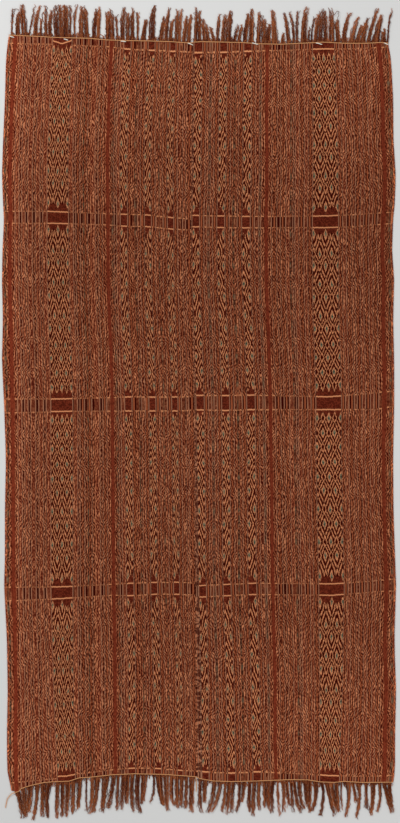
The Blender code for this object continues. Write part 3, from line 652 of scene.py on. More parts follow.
class ClothLook:
    """A cloth material, and what every stripe reads: its place in the figures, its yarns' unevenness."""

    def __init__(self, name):
        self.material, self.tree, self.shader = start_material(name, CLOTH_ROUGHNESS)
        tree = self.tree
        self.place = add_node(tree, "ShaderNodeTexCoord", 3, {})
        self.slip = (self.place.noise(*SLIP_GRAIN) - 0.5) * SLIP_REACH
        self.across, self.side = read_map(tree, "across_map")
        even, odd = read_map(tree, "row_map")
        reach = read_map(tree, "band_map")[0]
        self.even = even + self.slip / ROW_COURSES
        self.odd = odd + self.slip / ROW_COURSES
        self.reach = reach + self.slip * 0.6
        self.straight_reach = reach + self.slip * 0.35
        self.speckle = self.place.noise(*SPECKLE_GRAIN)
        self.pale = self.place.noise(*PALE_GRAIN).rise(0.46, 0.62)

    def lines(self, width=0.8):
        """Give the two lines that close each band."""
        return self.straight_reach.ridge(LINE_REACH, width)

    def dashes(self):
        """Give 1 on the edges of the nested, beaded zigzags and 0 along their middles."""
        swing = self.even.fold(2.0) * WIDE_SWING + abs(self.even.wrap(1.0) - 0.5) * 2.0 * NARROW_SWING
        wander = (self.place.noise(WANDER_GRAIN) - 0.5) * WANDER_REACH
        phase = (abs(self.across) - swing) / PITCH + wander
        beads = self.reach / BEAD_PITCH + phase * 0.5 + wander
        return abs(phase.wrap(1.0) * 2.0 - 1.0) * 0.6 + abs(beads.wrap(1.0) * 2.0 - 1.0) * 0.4

    def figured(self):
        """Give 0 inside the bands and 1 where the figures run."""
        return self.straight_reach.rise(LINE_REACH - 1.2, LINE_REACH - 0.2)

    def finish(self, colour):
        """Add what the whole cloth shares: painted light and shade, single yarns and the weave's ribs."""
        x, y = self.place.parts()[:2]
        # Painted light: the cloth is painted paler towards its left side and both ends, and darker in a
        # band of painted shade
        tone_and_painted_light = BASE_TONE
        for measure, start, full, amount in ((x, *LEFT_PAINTED_LIGHT), (y, *LOWER_PAINTED_LIGHT), (y, *UPPER_PAINTED_LIGHT)):
            tone_and_painted_light = tone_and_painted_light + measure.rise(start, full) * amount
        tone_and_painted_light = tone_and_painted_light - y.ridge(*SHADE_PLACE) * SHADE
        grains = (BROAD_GRAIN, STREAK_GRAIN, SPECK_GRAIN)
        broad, streak, speck = (self.place.noise(*grain) for grain in grains)
        tone = tone_and_painted_light + broad * BROAD_TONE + streak * STREAK_TONE + speck * SPECK_TONE
        shaded = scale_colour(self.tree, colour, tone)
        height = (x * (2.0 * math.pi / RIB_PITCH)).maths("SINE") * 0.5 + speck * 1.4
        inputs = {"Strength": RIB_STRENGTH, "Distance": RIB_HEIGHT, "Height": height}
        self.tree.links.new(shaded.socket, self.shader.inputs["Base Color"])
        self.tree.links.new(height.node("ShaderNodeBump", 0, inputs).socket, self.shader.inputs["Normal"])
        return self.material


def make_plain(name, dyes):
    """Make a plain warp stripe with mottled sides."""
    look = ClothLook(name)
    sides = abs(look.side).rise(0.45, 1.0) * look.figured()
    dashes = look.dashes()
    worn = look.speckle.rise(0.35, 0.7) * 0.5 + sides * dashes.rise(0.6, 0.35) * 0.8
    colour = worn.least(1.0).mix(dyes.rust, dyes.maroon)
    return look.finish((sides * dashes.rise(0.52, 0.7) * (0.2 + look.pale * 0.5)).mix(colour, dyes.tan))


def make_guard(name, dyes, colour, dim):
    """Make a thin line that runs straight through the bands and is dashed elsewhere."""
    look = ClothLook(name)
    share = 1.0 - look.figured() * look.dashes().rise(0.66, 0.38) * dim
    return look.finish((share * (0.5 + look.speckle * 0.75)).mix(dyes.maroon, colour))


def make_beads(name, dyes, ground, bead, inside, bright, spots=0.0):
    """Make a narrow stripe of dark beads that runs dark or half dark through the bands."""
    look = ClothLook(name)
    figured = look.figured()
    along = look.dashes().rise(0.68, 0.42) * figured + (1.0 - figured) * inside
    core = abs(look.side).rise(1.2, 0.6)
    dark = (along * core + (look.speckle - 0.5) * 1.3).most(0.0).least(1.0)
    colour = dark.mix(look.pale.mix(FIELD_BROWN, ground), bead)
    colour = (look.lines() * core * bright).mix(colour, DOT_TAN)
    return look.finish((look.even.fold(2.0).rise(0.22, 0.08) * figured * spots).mix(colour, dyes.heart))


def make_lattice(name, dyes, filled):
    """Make rows of outlined lozenges, every other one a grey heart with a teal core."""
    look = ClothLook(name)
    across = (look.across + (look.place.noise(330.0) - 0.5) * 0.3).fold(2.0)
    even_along = (look.even + 1.0).wrap(2.0) - 1.0
    odd_along = look.odd.wrap(2.0) - 1.0
    even_rise = abs(even_along) * HEART_SLOPE
    odd_rise = abs(odd_along) * HEART_SLOPE
    even_depth = across + even_rise
    odd_depth = 1.0 - across + odd_rise
    odd_nearer = (even_depth - odd_depth).rise(-0.01, 0.01)
    gap = 2.0 / (even_depth + odd_depth)
    hearts = even_depth.least(odd_depth) * gap
    plain = (1.0 - across + even_rise).least(across + odd_rise) * gap
    outside = plain.rise(0.5, 0.56).most(1.0 - filled)
    lines = hearts.ridge(0.32, 0.12).most(hearts.ridge(0.78, 0.13) * outside)
    lines = lines.most(plain.ridge(0.34, 0.11) * filled)
    strokes = hearts.ridge(0.54, 0.17).most(hearts.rise(0.89, 0.97) * outside)
    strokes = strokes.most((plain.ridge(0.54, 0.16).most(plain.rise(0.24, 0.16))) * filled)
    along = even_along * (1.0 - odd_nearer) + odd_along * odd_nearer
    way = look.even * (1.0 - across) + look.odd * across
    notch = (1.0 - abs(across * 2.0 - 1.0)) * 0.35
    shown = (way.least(10.0 - way) + 0.4 - notch).rise(-0.03, 0.03) * look.reach.rise(7.0, 8.0)
    dark = (strokes * 1.2 + look.speckle.rise(0.6, 0.35) * 0.7).least(1.0)
    mottled = look.place.noise(260.0, detail=2.0).rise(0.35, 0.7) * 0.8
    colour = shown.mix(mottled.mix(BAND_MAROON, dyes.rust), dark.mix(dyes.rust, dyes.maroon))
    colour = (lines * shown * (0.2 + look.speckle * 1.15)).least(1.0).mix(colour, dyes.line)
    colour = (hearts.rise(0.27, 0.21) * shown).mix(colour, dyes.heart)
    cores = hearts.rise(0.2, 0.08) * (along + look.slip * 0.03).rise(0.06, -0.02)
    return look.finish(look.lines(1.0).mix((cores * shown).mix(colour, TEAL), dyes.line))


def make_cloth_materials(dyes):
    """Make one material for each kind of stripe."""
    return {
        "R": make_plain("Rust stripe", dyes),
        "G": make_guard("Guard line", dyes, dyes.guard, 0.8),
        "M": make_beads("Brown stripe", dyes, dyes.tan, BEAD_MAROON, 0.75, 0.4),
        "K": make_beads("Dark stripe", dyes, dyes.tan, dyes.maroon, 1.2, 0.25),
        "D": make_beads("Dotted stripe", dyes, dyes.tan, DOT_MAROON, 0.75, 1.0),
        "O": make_guard("Orange line", dyes, dyes.orange, 0.9),
        "Y": make_beads("Grey stripe", dyes, GREY_BROWN, GREY_MAROON, 0.6, 0.4, 0.3),
        "S": make_beads("Selvedge", dyes, SELVEDGE_TAN, SELVEDGE_RUST, 0.3, 0.3),
        "L": make_lattice("Heart lattice", dyes, 1.0),
        "C": make_lattice("Heart chain", dyes, 0.0),
    }


def between(value, knots):
    """Read pairs straight between knots."""
    return float(np.interp(value, [pair[0] for pair in knots], [pair[1] for pair in knots]))


def origin():
    """Find where column 0 and course 0 lie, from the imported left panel."""
    low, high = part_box("panel_left")
    return low[0] - LEFTMOST_COLUMN * YARN, high[1] + TOPMOST_COURSE * YARN


ORIGIN = origin()


def place(column, course, height=0.0):
    """Turn a place on the warp grid into metres."""
    return Vector((ORIGIN[0] + column * YARN, ORIGIN[1] - course * YARN, height))


def edge_column(measure, course):
    """Read a long edge at a course."""
    first_column, first_course, last_column, last_course = CORNERS[measure]
    inner = zip(EDGES["course"], EDGES[measure])
    return between(course, [(first_course, first_column), *inner, (last_course, last_column)])


def real_column(side, column, course):
    """Follow a column of the layout as it drifts along the cloth."""
    first, last = ("left", "seam") if side == "left" else ("seam", "right")
    knots = [(LAYOUT_EDGES[first], edge_column(first, course))]
    for middle, columns in DRIFT[side]:
        drifted = between(course, list(zip(DRIFT_COURSES, columns)))
        sway = LATTICE_SWAY if abs(middle - CELLS[side][0]) < LATTICE_HALF else SWAY
        knots.append((middle, drifted + between(course, sway[side])))
    knots.append((LAYOUT_EDGES[last], edge_column(last, course)))
    return between(column, knots)


def cloth_stop(side, end, column):
    """Give the course where the woven cloth stops."""
    away = -CLOTH_PAST_TWINING if end == "top" else CLOTH_PAST_TWINING
    return between(column, ENDS[end + "_" + side]) + away


def row_steps(name, share):
    """Give the even and odd rows' steps at a share of the way between two lines."""
    steps = []
    for parity in (0, 1):
        knots = [(spot, float(number)) for number, spot in enumerate(ROWS[name]) if number % 2 == parity]
        first_share, first_step = knots[0]
        last_share, last_step = knots[-1]
        knots.insert(0, (0.0, first_step - first_share / ROW_SHARE))
        knots.append((1.0, last_step + (1.0 - last_share) / ROW_SHARE))
        steps.append(between(share, knots))
    return steps


def row_plan():
    """List the mesh's rows: knot before, share to the next knot, and the figures' even and odd steps."""
    rows = []
    steps = row_steps("upper", 1.0)
    for knot in range(LAST_KNOT + 1):
        if knot not in SECTIONS:
            rows.append((knot, 0.0, steps))
            continue
        name, reverse = SECTIONS[knot]
        for share in sorted({0.0, 0.5, *(1.0 - spot if reverse else spot for spot in ROWS[name])}):
            rows.append((knot, share, row_steps(name, 1.0 - share if reverse else share)))
        steps = row_steps(name, 0.0 if reverse else 1.0)
    rows.append((LAST_KNOT, 1.0, steps))
    return rows


def knot_courses(side, column):
    """List the courses of a column's knots, from its upper end to its lower."""
    columns, *measures = zip(*BANDS[side])
    values = [between(column, list(zip(columns, measure))) for measure in measures]
    top, first, first_half, second, second_half, third, third_half, foot = values
    start = cloth_stop(side, "top", real_column(side, column, UPPER_COURSE))
    stop = cloth_stop(side, "bottom", real_column(side, column, LOWER_COURSE))
    return [
        start, max(top, start + 1.0), first - first_half, first, first + first_half,
        second - second_half, second, second + second_half, third - third_half, third,
        third + third_half, min(foot, stop - 1.0), stop,
    ]


def reach_at(knots, knot, share):
    """Give the distance from the nearest band's middle, set so that its lines lie at LINE_REACH."""
    span = knots[knot + 1] - knots[knot]
    if knot in SECTIONS:
        return LINE_REACH + min(share, 1.0 - share) * span
    if knot == 0:
        return max(0.0, LINE_REACH - (1.0 - share) * span)
    if knot == LAST_KNOT:
        return max(0.0, LINE_REACH - share * span)
    return LINE_REACH * (1.0 - share if knot - 1 in SECTIONS else share)


def stripe_across(side, kind, first, last, column):
    """Give a column's distance across the figures that its stripe belongs to."""
    if kind == "L":
        middle, cell = CELLS[side]
        return (column - middle) / cell
    if kind == "C":
        share = (column - first) / (last - first)
        share = 1.0 - share if first in FLIPPED_CHAINS else share
        return share * (1.0 + 2.0 * CHAIN_OVERHANG) - CHAIN_OVERHANG
    return column - min(AXES, key=lambda axis: abs(axis - (first + last) / 2.0))


def build_panel(side, materials):
    """Weave one panel as a closed sheet whose columns follow the stripes."""
    stripes = sorted((first, kind) for kind, starts in STRIPES[side].items() for first in starts)
    columns = [first for first, kind in stripes]
    rows = row_plan()
    steps = [row[2] for row in rows]
    high = len(rows)
    wide = len(columns)
    under = high * wide
    places = np.zeros((high, wide, 3))
    reach = np.zeros((high, wide))
    for number, column in enumerate(columns):
        knots = knot_courses(side, column)
        for line, (knot, share) in enumerate(row[:2] for row in rows):
            course = knots[knot] + share * (knots[knot + 1] - knots[knot])
            places[line, number] = place(real_column(side, column, course), course)
            reach[line, number] = reach_at(knots, knot, share)
    seam, shift = (-1, -HALF_SEAM_GAP) if side == "left" else (0, HALF_SEAM_GAP)
    places[:, seam, 0] += shift
    upper = places.copy()
    upper[:, :, 2] = CLOTH_THICKNESS + relief(places)
    points = np.concatenate([upper.reshape(-1, 3), places.reshape(-1, 3)])
    faces = []
    kinds = []
    maps = {"across_map": [], "row_map": [], "band_map": []}
    order = sorted(materials)

    def add_face(face, spots, number):
        """Add a face with its corners' places in the figures: row line, column, across and side."""
        kind = stripes[number][1]
        faces.append(face)
        kinds.append(order.index(kind))
        for line, column, across, half in spots:
            maps["across_map"].append((across, half))
            maps["row_map"].append(steps[line])
            maps["band_map"].append((reach[line, column], columns[column]))

    for line in range(high - 1):
        for number in range(wide - 1):
            kind = stripes[number][1]
            first, last = columns[number], columns[number + 1]
            left, right = (stripe_across(side, kind, first, last, column) for column in (first, last))
            here = line * wide + number
            quad = (here, here + wide, here + wide + 1, here + 1)
            spots = (
                (line, number, left, -1.0), (line + 1, number, left, -1.0),
                (line + 1, number + 1, right, 1.0), (line, number + 1, right, 1.0),
            )
            add_face(quad, spots, number)
            add_face(tuple(corner + under for corner in quad[::-1]), spots[::-1], number)
    rim = [line * wide for line in range(high)] + [(high - 1) * wide + number for number in range(1, wide)]
    rim += [line * wide + wide - 1 for line in range(high - 2, -1, -1)]
    rim += [number for number in range(wide - 2, 0, -1)]
    for here, after in zip(rim, rim[1:] + rim[:1]):
        number = min(here % wide, after % wide, wide - 2)
        spots = [(spot // wide, spot % wide, 0.0, 0.0) for spot in (here, here, after, after)]
        add_face((here, here + under, after + under, after), spots, number)
    mesh = bpy.data.meshes.new("cloth_" + side)
    mesh.from_pydata(points.tolist(), [], faces)
    for kind in order:
        mesh.materials.append(materials[kind])
    mesh.polygons.foreach_set("material_index", kinds)
    for name, values in maps.items():
        layer = mesh.uv_layers.new(name=name)
        layer.uv.foreach_set("vector", np.array(values, dtype=np.float32).ravel())
    lay_bake_map(mesh)
    mesh.update()
    return add_object("cloth_" + side, mesh)


def relief(places):
    """Let the cloth lie a little unevenly, by less than half a millimetre."""
    x = places[:, :, 0]
    y = places[:, :, 1]
    across = 0.00016 * np.sin(x * 38.0 + 1.3 * np.sin(y * 9.0))
    return across + 0.00014 * np.sin(y * 31.0 + 2.0 * np.sin(x * 11.0 + 1.0))


def lay_bake_map(mesh):
    """Lay the sheet's two half lengths side by side on the map named OFBake, for baking."""
    count = len(mesh.loops)
    vertices = np.zeros(len(mesh.vertices) * 3)
    mesh.vertices.foreach_get("co", vertices)
    vertices = vertices.reshape(-1, 3)
    owners = np.zeros(count, dtype=np.int64)
    mesh.loops.foreach_get("vertex_index", owners)
    low = vertices.min(axis=0)
    high = vertices.max(axis=0)
    middle = (low[1] + high[1]) / 2.0
    scale = MAP_REACH / max(high[1] - middle, 2.0 * (high[0] - low[0]))
    spots = np.zeros((count, 2))
    for polygon in mesh.polygons:
        loops = list(polygon.loop_indices)
        here = vertices[owners[loops]]
        lower = here[:, 1].mean() < middle
        spots[loops, 0] = (here[:, 0] - low[0]) * scale + (MAP_HALF if lower else MAP_MARGIN)
        spots[loops, 1] = (here[:, 1] - (low[1] if lower else middle)) * scale + MAP_MARGIN
    layer = mesh.uv_layers.new(name="OFBake")
    layer.uv.foreach_set("vector", spots.astype(np.float32).ravel())


def add_object(name, mesh):
    """Link a mesh as an object at the origin."""
    thing = bpy.data.objects.new(name, mesh)
    bpy.context.scene.collection.objects.link(thing)
    return thing


def start_tree(name, sockets):
    """Make a geometry tree with inputs of those names, and give its lines and its inputs."""
    tree = bpy.data.node_groups.new(name, "GeometryNodeTree")
    tree.interface.new_socket("Geometry", in_out="OUTPUT", socket_type="NodeSocketGeometry")
    kinds = {"Geometry": "Geometry", "Seed": "Int", "Material": "Material"}
    for label in ("Geometry", *sockets, "Material"):
        kind = "NodeSocket" + kinds.get(label, "Float")
        tree.interface.new_socket(label, in_out="INPUT", socket_type=kind)
    group = tree.nodes.new("NodeGroupInput")
    given = {socket.name: Term(tree, socket) for socket in group.outputs if socket.name}
    return tree, add_node(tree, "GeometryNodeMeshToCurve", 0, {0: given["Geometry"]}), given


def split_curves(curves, amount):
    """Copy each curve a number of times, and give the copies and each copy's number."""
    inputs = {"Geometry": curves, "Amount": amount}
    copies = curves.node("GeometryNodeDuplicateElements", "Geometry", inputs, domain="SPLINE")
    return copies, Term(copies.tree, copies.socket.node.outputs["Duplicate Index"])


def close_tree(curves, sides, thick, material):
    """Sweep the curves into rods of some sides, and end the tree with real meshes in their material."""
    ring = curves.node("GeometryNodeCurvePrimitiveCircle", 0, {"Resolution": sides, "Radius": 1.0})
    inputs = {"Curve": curves, "Profile Curve": ring, "Scale": thick, "Fill Caps": True}
    mesh = curves.node("GeometryNodeCurveToMesh", 0, inputs)
    real = mesh.node("GeometryNodeRealizeInstances", 0, {0: mesh})
    done = real.node("GeometryNodeSetMaterial", 0, {"Geometry": real, "Material": material})
    group = curves.tree.nodes.new("NodeGroupOutput")
    curves.tree.links.new(done.socket, group.inputs[0])
    return curves.tree


def grow(name, guides, tree, values):
    """Run a geometry tree on guide lines and keep its result as a plain mesh."""
    thing = add_object(name, guides)
    modifier = thing.modifiers.new(name, "NODES")
    modifier.node_group = tree
    for item in tree.interface.items_tree:
        if item.in_out == "INPUT" and item.name in values:
            modifier[item.identifier] = values[item.name]
    depsgraph = bpy.context.evaluated_depsgraph_get()
    mesh = bpy.data.meshes.new_from_object(
        thing.evaluated_get(depsgraph), preserve_all_data_layers=True, depsgraph=depsgraph
    )
    thing.modifiers.clear()
    thing.data = mesh
    if not len(mesh.polygons):
        raise RuntimeError(name + " came out empty")
    return thing


def guide_mesh(name, lines):
    """Make loose lines of points with their own values: across, share and yarns."""
    points = []
    edges = []
    across = []
    shares = []
    yarns = []
    for line in lines:
        for number, (point, reach, share, count) in enumerate(line):
            if number:
                edges.append((len(points) - 1, len(points)))
            points.append(point)
            across += list(reach)
            shares.append(share)
            yarns.append(count)
    mesh = bpy.data.meshes.new(name)
    mesh.from_pydata(points, edges, [])
    for label, kind, values, part in (
        ("across", "FLOAT_VECTOR", across, "vector"), ("share", "FLOAT", shares, "value"),
        ("yarns", "FLOAT", yarns, "value"),
    ):
        mesh.attributes.new(label, kind, "POINT").data.foreach_set(part, values)
    return mesh


def guide_point(column, course, height):
    """Give a guide's point that spreads no yarns."""
    return place(column, course, height), (0.0, 0.0, 0.0), 0.0, 1.0


def bend(start, middle, stop, share):
    """Read a smooth curve that passes its middle point halfway."""
    first = (1.0 - share) * (1.0 - 2.0 * share)
    second = 4.0 * share * (1.0 - share)
    third = share * (2.0 * share - 1.0)
    return first * start + second * middle + third * stop


def lock_guide(lock, root_course, count):
    """Lay one lock's middle line, with its half width across at each point."""
    start = Vector(((lock.left + lock.right) / 2.0, root_course))
    middle = Vector((lock.mid_column, lock.mid_course))
    stop = Vector((lock.tip_column, lock.tip_course))
    root_width = lock.right - lock.left
    line = []
    for step in range(LOCK_STEPS + 1):
        share = step / LOCK_STEPS
        here = bend(start, middle, stop, share)
        ahead = bend(start, middle, stop, share + 0.05) - bend(start, middle, stop, share - 0.05)
        across = Vector((abs(ahead.y), -ahead.x if ahead.y > 0.0 else ahead.x)).normalized()
        if step == 0:
            across = Vector((1.0, 0.0))
        if share <= 0.5:
            width = root_width + (lock.mid_width - root_width) * share * 2.0
        else:
            width = lock.mid_width + (lock.tip_width * 1.5 - lock.mid_width) * (share * 2.0 - 1.0)
        half = across * (width / 2.0 - 0.25) * YARN
        line.append((place(here.x, here.y, LOCK_HEIGHT), (half.x, -half.y, 0.0), share, count))
    return line


def tuft_guides(end, chance):
    """Lay the short tufts that fill the fringe's root."""
    away, side = end.split("_")
    outward = -1.0 if away == "top" else 1.0
    column = LOCKS[end][0].left
    lines = []
    while column < LOCKS[end][-1].right:
        root = cloth_stop(side, away, column)
        lean = chance.uniform(-TUFT_LEAN, TUFT_LEAN)
        reach = outward * chance.uniform(*TUFT_REACH)
        middle = (column + lean * 0.3, root + reach * 0.5, 1.0)
        tip = (column + lean, root + reach, 0.9)
        tuft = Lock(column - TUFT_HALF, column + TUFT_HALF, *middle, *tip)
        lines.append(lock_guide(tuft, root, TUFT_YARNS))
        column += TUFT_SPACE
    return lines


def strand_guide(points):
    """Lay one stray strand smoothly through its points."""
    flat = [Vector(point) for point in points]
    longer = [flat[0] * 2.0 - flat[1]] + flat + [flat[-1] * 2.0 - flat[-2]]
    line = []
    parts = len(flat) - 1
    for part in range(parts):
        before, first, last, after = longer[part:part + 4]
        for step in range(7 if part == parts - 1 else 6):
            way = step / 6.0
            curve = (2.0 * before - 5.0 * first + 4.0 * last - after) * way * way
            curve += (3.0 * first - before - 3.0 * last + after) * way ** 3
            spot = 0.5 * (2.0 * first + (last - before) * way + curve)
            share = 0.35 + 0.5 * (part + way) / parts
            line.append((place(spot.x, spot.y, STRAND_HEIGHT), (0.0, 0.0, 0.0), share, 1.2))
    return line


def named(tree, label, kind):
    """Read a named value of the guides."""
    return add_node(tree, "GeometryNodeInputNamedAttribute", 0, {"Name": label}, data_type=kind)


def fringe_tree():
    """Make the tree that splits each lock into separate wavy yarns with frayed tips."""
    tree, curves, given = start_tree("Fringe yarns", ("Radius", "Sway", "Seed"))
    yarns = named(tree, "yarns", "FLOAT")
    split, rank = split_curves(curves, yarns)
    index = add_node(tree, "GeometryNodeInputIndex", 0, {})
    own = index.node("GeometryNodeFieldOnDomain", 0, {0: index}, domain="CURVE", data_type="FLOAT")
    share = named(tree, "share", "FLOAT")
    across = named(tree, "across", "FLOAT_VECTOR")

    def chance(low, high, salt):
        """Give each yarn its own number between two, another one for each salt."""
        return own.node("FunctionNodeRandomValue", 1, {2: low, 3: high, 7: own, 8: given["Seed"] + salt})

    length = add_node(tree, "GeometryNodeSplineParameter", "Length", {})
    turn = length * chance(*CRIMP_TURN, 6.0) + chance(0.0, 6.3, 7.0)
    crimp = turn.maths("SINE") * chance(*CRIMP_REACH, 8.0) * share.rise(0.02, 0.3)
    spread = (rank + 0.5) / yarns.maths("FLOOR") * 2.0 - 1.0 + chance(*YARN_STRAY, 1.0)
    spread = spread * (1.0 + share.rise(0.05, 0.6) * 0.35)
    level = across.node("ShaderNodeVectorMath", 0, {0: across}, operation="NORMALIZE")
    sideways = across.vector("SCALE", spread).vector("ADD", level.vector("SCALE", crimp))
    spot = add_node(tree, "GeometryNodeInputPosition", 0, {})
    seeded = spot.vector("ADD", (own * 0.37).upward())
    waves = seeded.node("ShaderNodeTexNoise", 1, {"Vector": seeded, "Scale": SWAY_GRAIN, "Detail": 1.0})
    flat = waves.vector("SUBTRACT", (0.5, 0.5, 0.5)).vector("MULTIPLY", (1.0, 0.6, 0.1))
    sway = flat.vector("SCALE", share * given["Sway"] + 0.001)
    lift = chance(*YARN_LIFT, 2.0) * share.rise(0.0, 0.1)
    offset = sway.vector("ADD", lift.upward()).vector("ADD", sideways)
    moved = split.node("GeometryNodeSetPosition", 0, {"Geometry": split, "Offset": offset})
    inputs = {"Geometry": moved, "Selection": share.maths("GREATER_THAN", chance(*YARN_BREAK, 3.0))}
    cut = moved.node("GeometryNodeDeleteGeometry", 0, inputs, domain="POINT")
    inputs = {"Geometry": cut, "Name": "yarn_tone", "Value": chance(0.0, 1.0, 5.0)}
    toned = cut.node("GeometryNodeStoreNamedAttribute", 0, inputs, data_type="FLOAT", domain="POINT")
    thick = given["Radius"] * (1.0 - share * 0.3) * chance(*YARN_THICKNESS, 4.0)
    return close_tree(toned, YARN_SIDES, thick, given["Material"])


def twist_tree():
    """Make the tree that twists two plies along a line."""
    tree, curves, given = start_tree("Twisted plies", ("Radius", "Pitch"))
    even = curves.node("GeometryNodeResampleCurve", 0, {"Curve": curves, "Length": PLY_STEP}, mode="LENGTH")
    split, rank = split_curves(even, 2)
    length = add_node(tree, "GeometryNodeSplineParameter", "Length", {})
    angle = length / given["Pitch"] * (2.0 * math.pi) + rank * math.pi
    tangent = add_node(tree, "GeometryNodeInputTangent", 0, {})
    across = tangent.vector("CROSS_PRODUCT", (0.0, 0.0, 1.0))
    sideways = across.vector("SCALE", angle.maths("COSINE") * given["Radius"] * 0.5)
    offset = sideways.vector("ADD", (angle.maths("SINE") * given["Radius"] * 0.5).upward())
    moved = split.node("GeometryNodeSetPosition", 0, {"Geometry": split, "Offset": offset})
    return close_tree(moved, PLY_SIDES, given["Radius"] * 0.5, given["Material"])


def make_yarn_material(name, dark, light):
    """Make fringe yarn that turns brighter towards its frayed tip."""
    material, tree, shader = start_material(name, YARN_ROUGHNESS)
    share = add_node(tree, "ShaderNodeAttribute", 2, {}, attribute_name="share")
    tone = add_node(tree, "ShaderNodeAttribute", 2, {}, attribute_name="yarn_tone")
    grain = add_node(tree, "ShaderNodeTexCoord", 3, {}).noise(700.0).rise(0.35, 0.7)
    amount = share.rise(0.1, 1.0) * 0.3 + tone.rise(0.35, 0.95) * 0.55 + grain * 0.5 - 0.25
    colour = amount.least(1.0).most(0.0).mix(dark, light)
    tree.links.new(colour.socket, shader.inputs["Base Color"])
    return material


def make_thread_material(name, colour):
    """Make plain thread with a little grain."""
    material, tree, shader = start_material(name, THREAD_ROUGHNESS)
    grain = add_node(tree, "ShaderNodeTexCoord", 3, {}).noise(900.0)
    tree.links.new(scale_colour(tree, colour[:3], 0.7 + grain * 0.6).socket, shader.inputs["Base Color"])
    return material


def twining_line(end):
    """Follow one end's twining, with its loose tails."""
    height = CLOTH_THICKNESS + TWINING_RADIUS
    route = [(column, course, height) for column, course in ENDS[end]]
    if end == "bottom_left":
        corner, seam = (
            [(column, course, lift * TWINING_RADIUS) for column, course, lift in tail]
            for tail in (CORNER_TAIL, SEAM_TAIL)
        )
        route = corner[:-1] + route[2:-1] + seam
    return [guide_point(*spot) for spot in route]


def stitch(column, course, wide, along, arch):
    """Lay one stitch from a place over some columns and courses, by the heights of its arch."""
    return [guide_point(column + share * wide, course + share * along, height) for share, height in arch]


def seam_lines():
    """Lay a short slanting stitch over the seam at even spaces."""
    lines = []
    course = SEAM_FIRST
    while course < SEAM_LAST:
        lines.append(stitch(edge_column("seam", course), course, STITCH_REACH, -STITCH_SLANT, SEAM_ARCH))
        course += STITCH_SPACE
    return lines


def tack_lines():
    """Lay each white tack as one long stitch over the cloth's upper end."""
    return [
        stitch(column, course, last_column - column, last_course - course, TACK_ARCH)
        for column, course, last_column, last_course in TACKS
    ]


# What every colour among the settings shares
DYE = {"size": 4, "min": 0.0, "max": 1.0, "subtype": "COLOR"}


class IkatClothSettings(bpy.types.PropertyGroup):
    """Sizes and colours of the looks that a scene may change."""

    yarn_radius: bpy.props.FloatProperty(
        name="Fringe yarn radius", description="Radius of a fringe yarn at its root", default=0.001,
        min=0.0003, max=0.002, unit="LENGTH",
    )
    sway: bpy.props.FloatProperty(
        name="Fringe sway", description="How far the yarns' tips stray", default=0.02,
        min=0.0, max=0.05, unit="LENGTH",
    )
    ply_pitch: bpy.props.FloatProperty(
        name="Ply pitch", description="Length of one full twist of the end cords", default=0.0058,
        min=0.002, max=0.03, unit="LENGTH",
    )
    seed: bpy.props.IntProperty(
        name="Seed", description="Number that fixes how the yarns stray", default=4, min=0,
    )
    rust: bpy.props.FloatVectorProperty(
        name="Rust", description="Plain stripes and the ground of the figures", default=paint(124, 51, 31),
        **DYE,
    )
    maroon: bpy.props.FloatVectorProperty(
        name="Maroon", description="Darkest dye of the beads and figures", default=paint(56, 6, 2), **DYE,
    )
    tan: bpy.props.FloatVectorProperty(
        name="Tan", description="Pale ground between the dark beads", default=paint(206, 130, 90), **DYE,
    )
    line: bpy.props.FloatVectorProperty(
        name="Line", description="Pale lines of the figures and bands", default=paint(230, 153, 105),
        **DYE,
    )
    guard: bpy.props.FloatVectorProperty(
        name="Guard", description="Thin lines between the stripes", default=paint(160, 110, 84), **DYE,
    )
    orange: bpy.props.FloatVectorProperty(
        name="Orange", description="Thin orange lines", default=paint(160, 84, 52), **DYE,
    )
    heart: bpy.props.FloatVectorProperty(
        name="Heart", description="Hearts of the figures", default=paint(116, 108, 84), **DYE,
    )
    fringe_dark: bpy.props.FloatVectorProperty(
        name="Fringe, dark", description="Dark yarns of the fringes", default=paint(76, 27, 15), **DYE,
    )
    fringe_light: bpy.props.FloatVectorProperty(
        name="Fringe, light", description="Worn yarns of the fringes", default=paint(208, 126, 80), **DYE,
    )
    cord: bpy.props.FloatVectorProperty(
        name="Cord", description="Twined end cords", default=paint(236, 174, 120), **DYE,
    )


class IKATCLOTH_OT_panels(bpy.types.Operator):
    """Weave the two panels with their stripes and figures"""

    bl_idname = "ikatcloth.panels"
    bl_label = "Weave the panels"

    def execute(self, context):
        materials = make_cloth_materials(context.scene.ikat_cloth)
        for side in ("left", "right"):
            cloth = build_panel(side, materials)
            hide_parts("panel_" + side)
            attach(cloth, "root")
        return {"FINISHED"}


class IKATCLOTH_OT_fringes(bpy.types.Operator):
    """Grow the four fringes as separate yarns"""

    bl_idname = "ikatcloth.fringes"
    bl_label = "Grow the fringes"

    def execute(self, context):
        settings = context.scene.ikat_cloth
        material = make_yarn_material("Fringe yarn", settings.fringe_dark, settings.fringe_light)
        tree = fringe_tree()
        chance = random.Random(settings.seed)
        for end, locks in LOCKS.items():
            lines = []
            away, side = end.split("_")
            for lock in locks:
                middle = (lock.left + lock.right) / 2.0
                root = cloth_stop(side, away, middle)
                count = round((lock.right - lock.left) * YARNS_PER_COLUMN + YARNS_BESIDE) + 0.2
                lines.append(lock_guide(lock, root, count))
            lines += tuft_guides(end, chance)
            lines += [strand_guide(points) for points in STRANDS[end]]
            values = {"Radius": settings.yarn_radius, "Sway": settings.sway, "Seed": settings.seed}
            values["Material"] = material
            fringe = grow("yarns_" + end, guide_mesh("yarns_" + end, lines), tree, values)
            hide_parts("fringe_" + end)
            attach(fringe, "root")
        return {"FINISHED"}


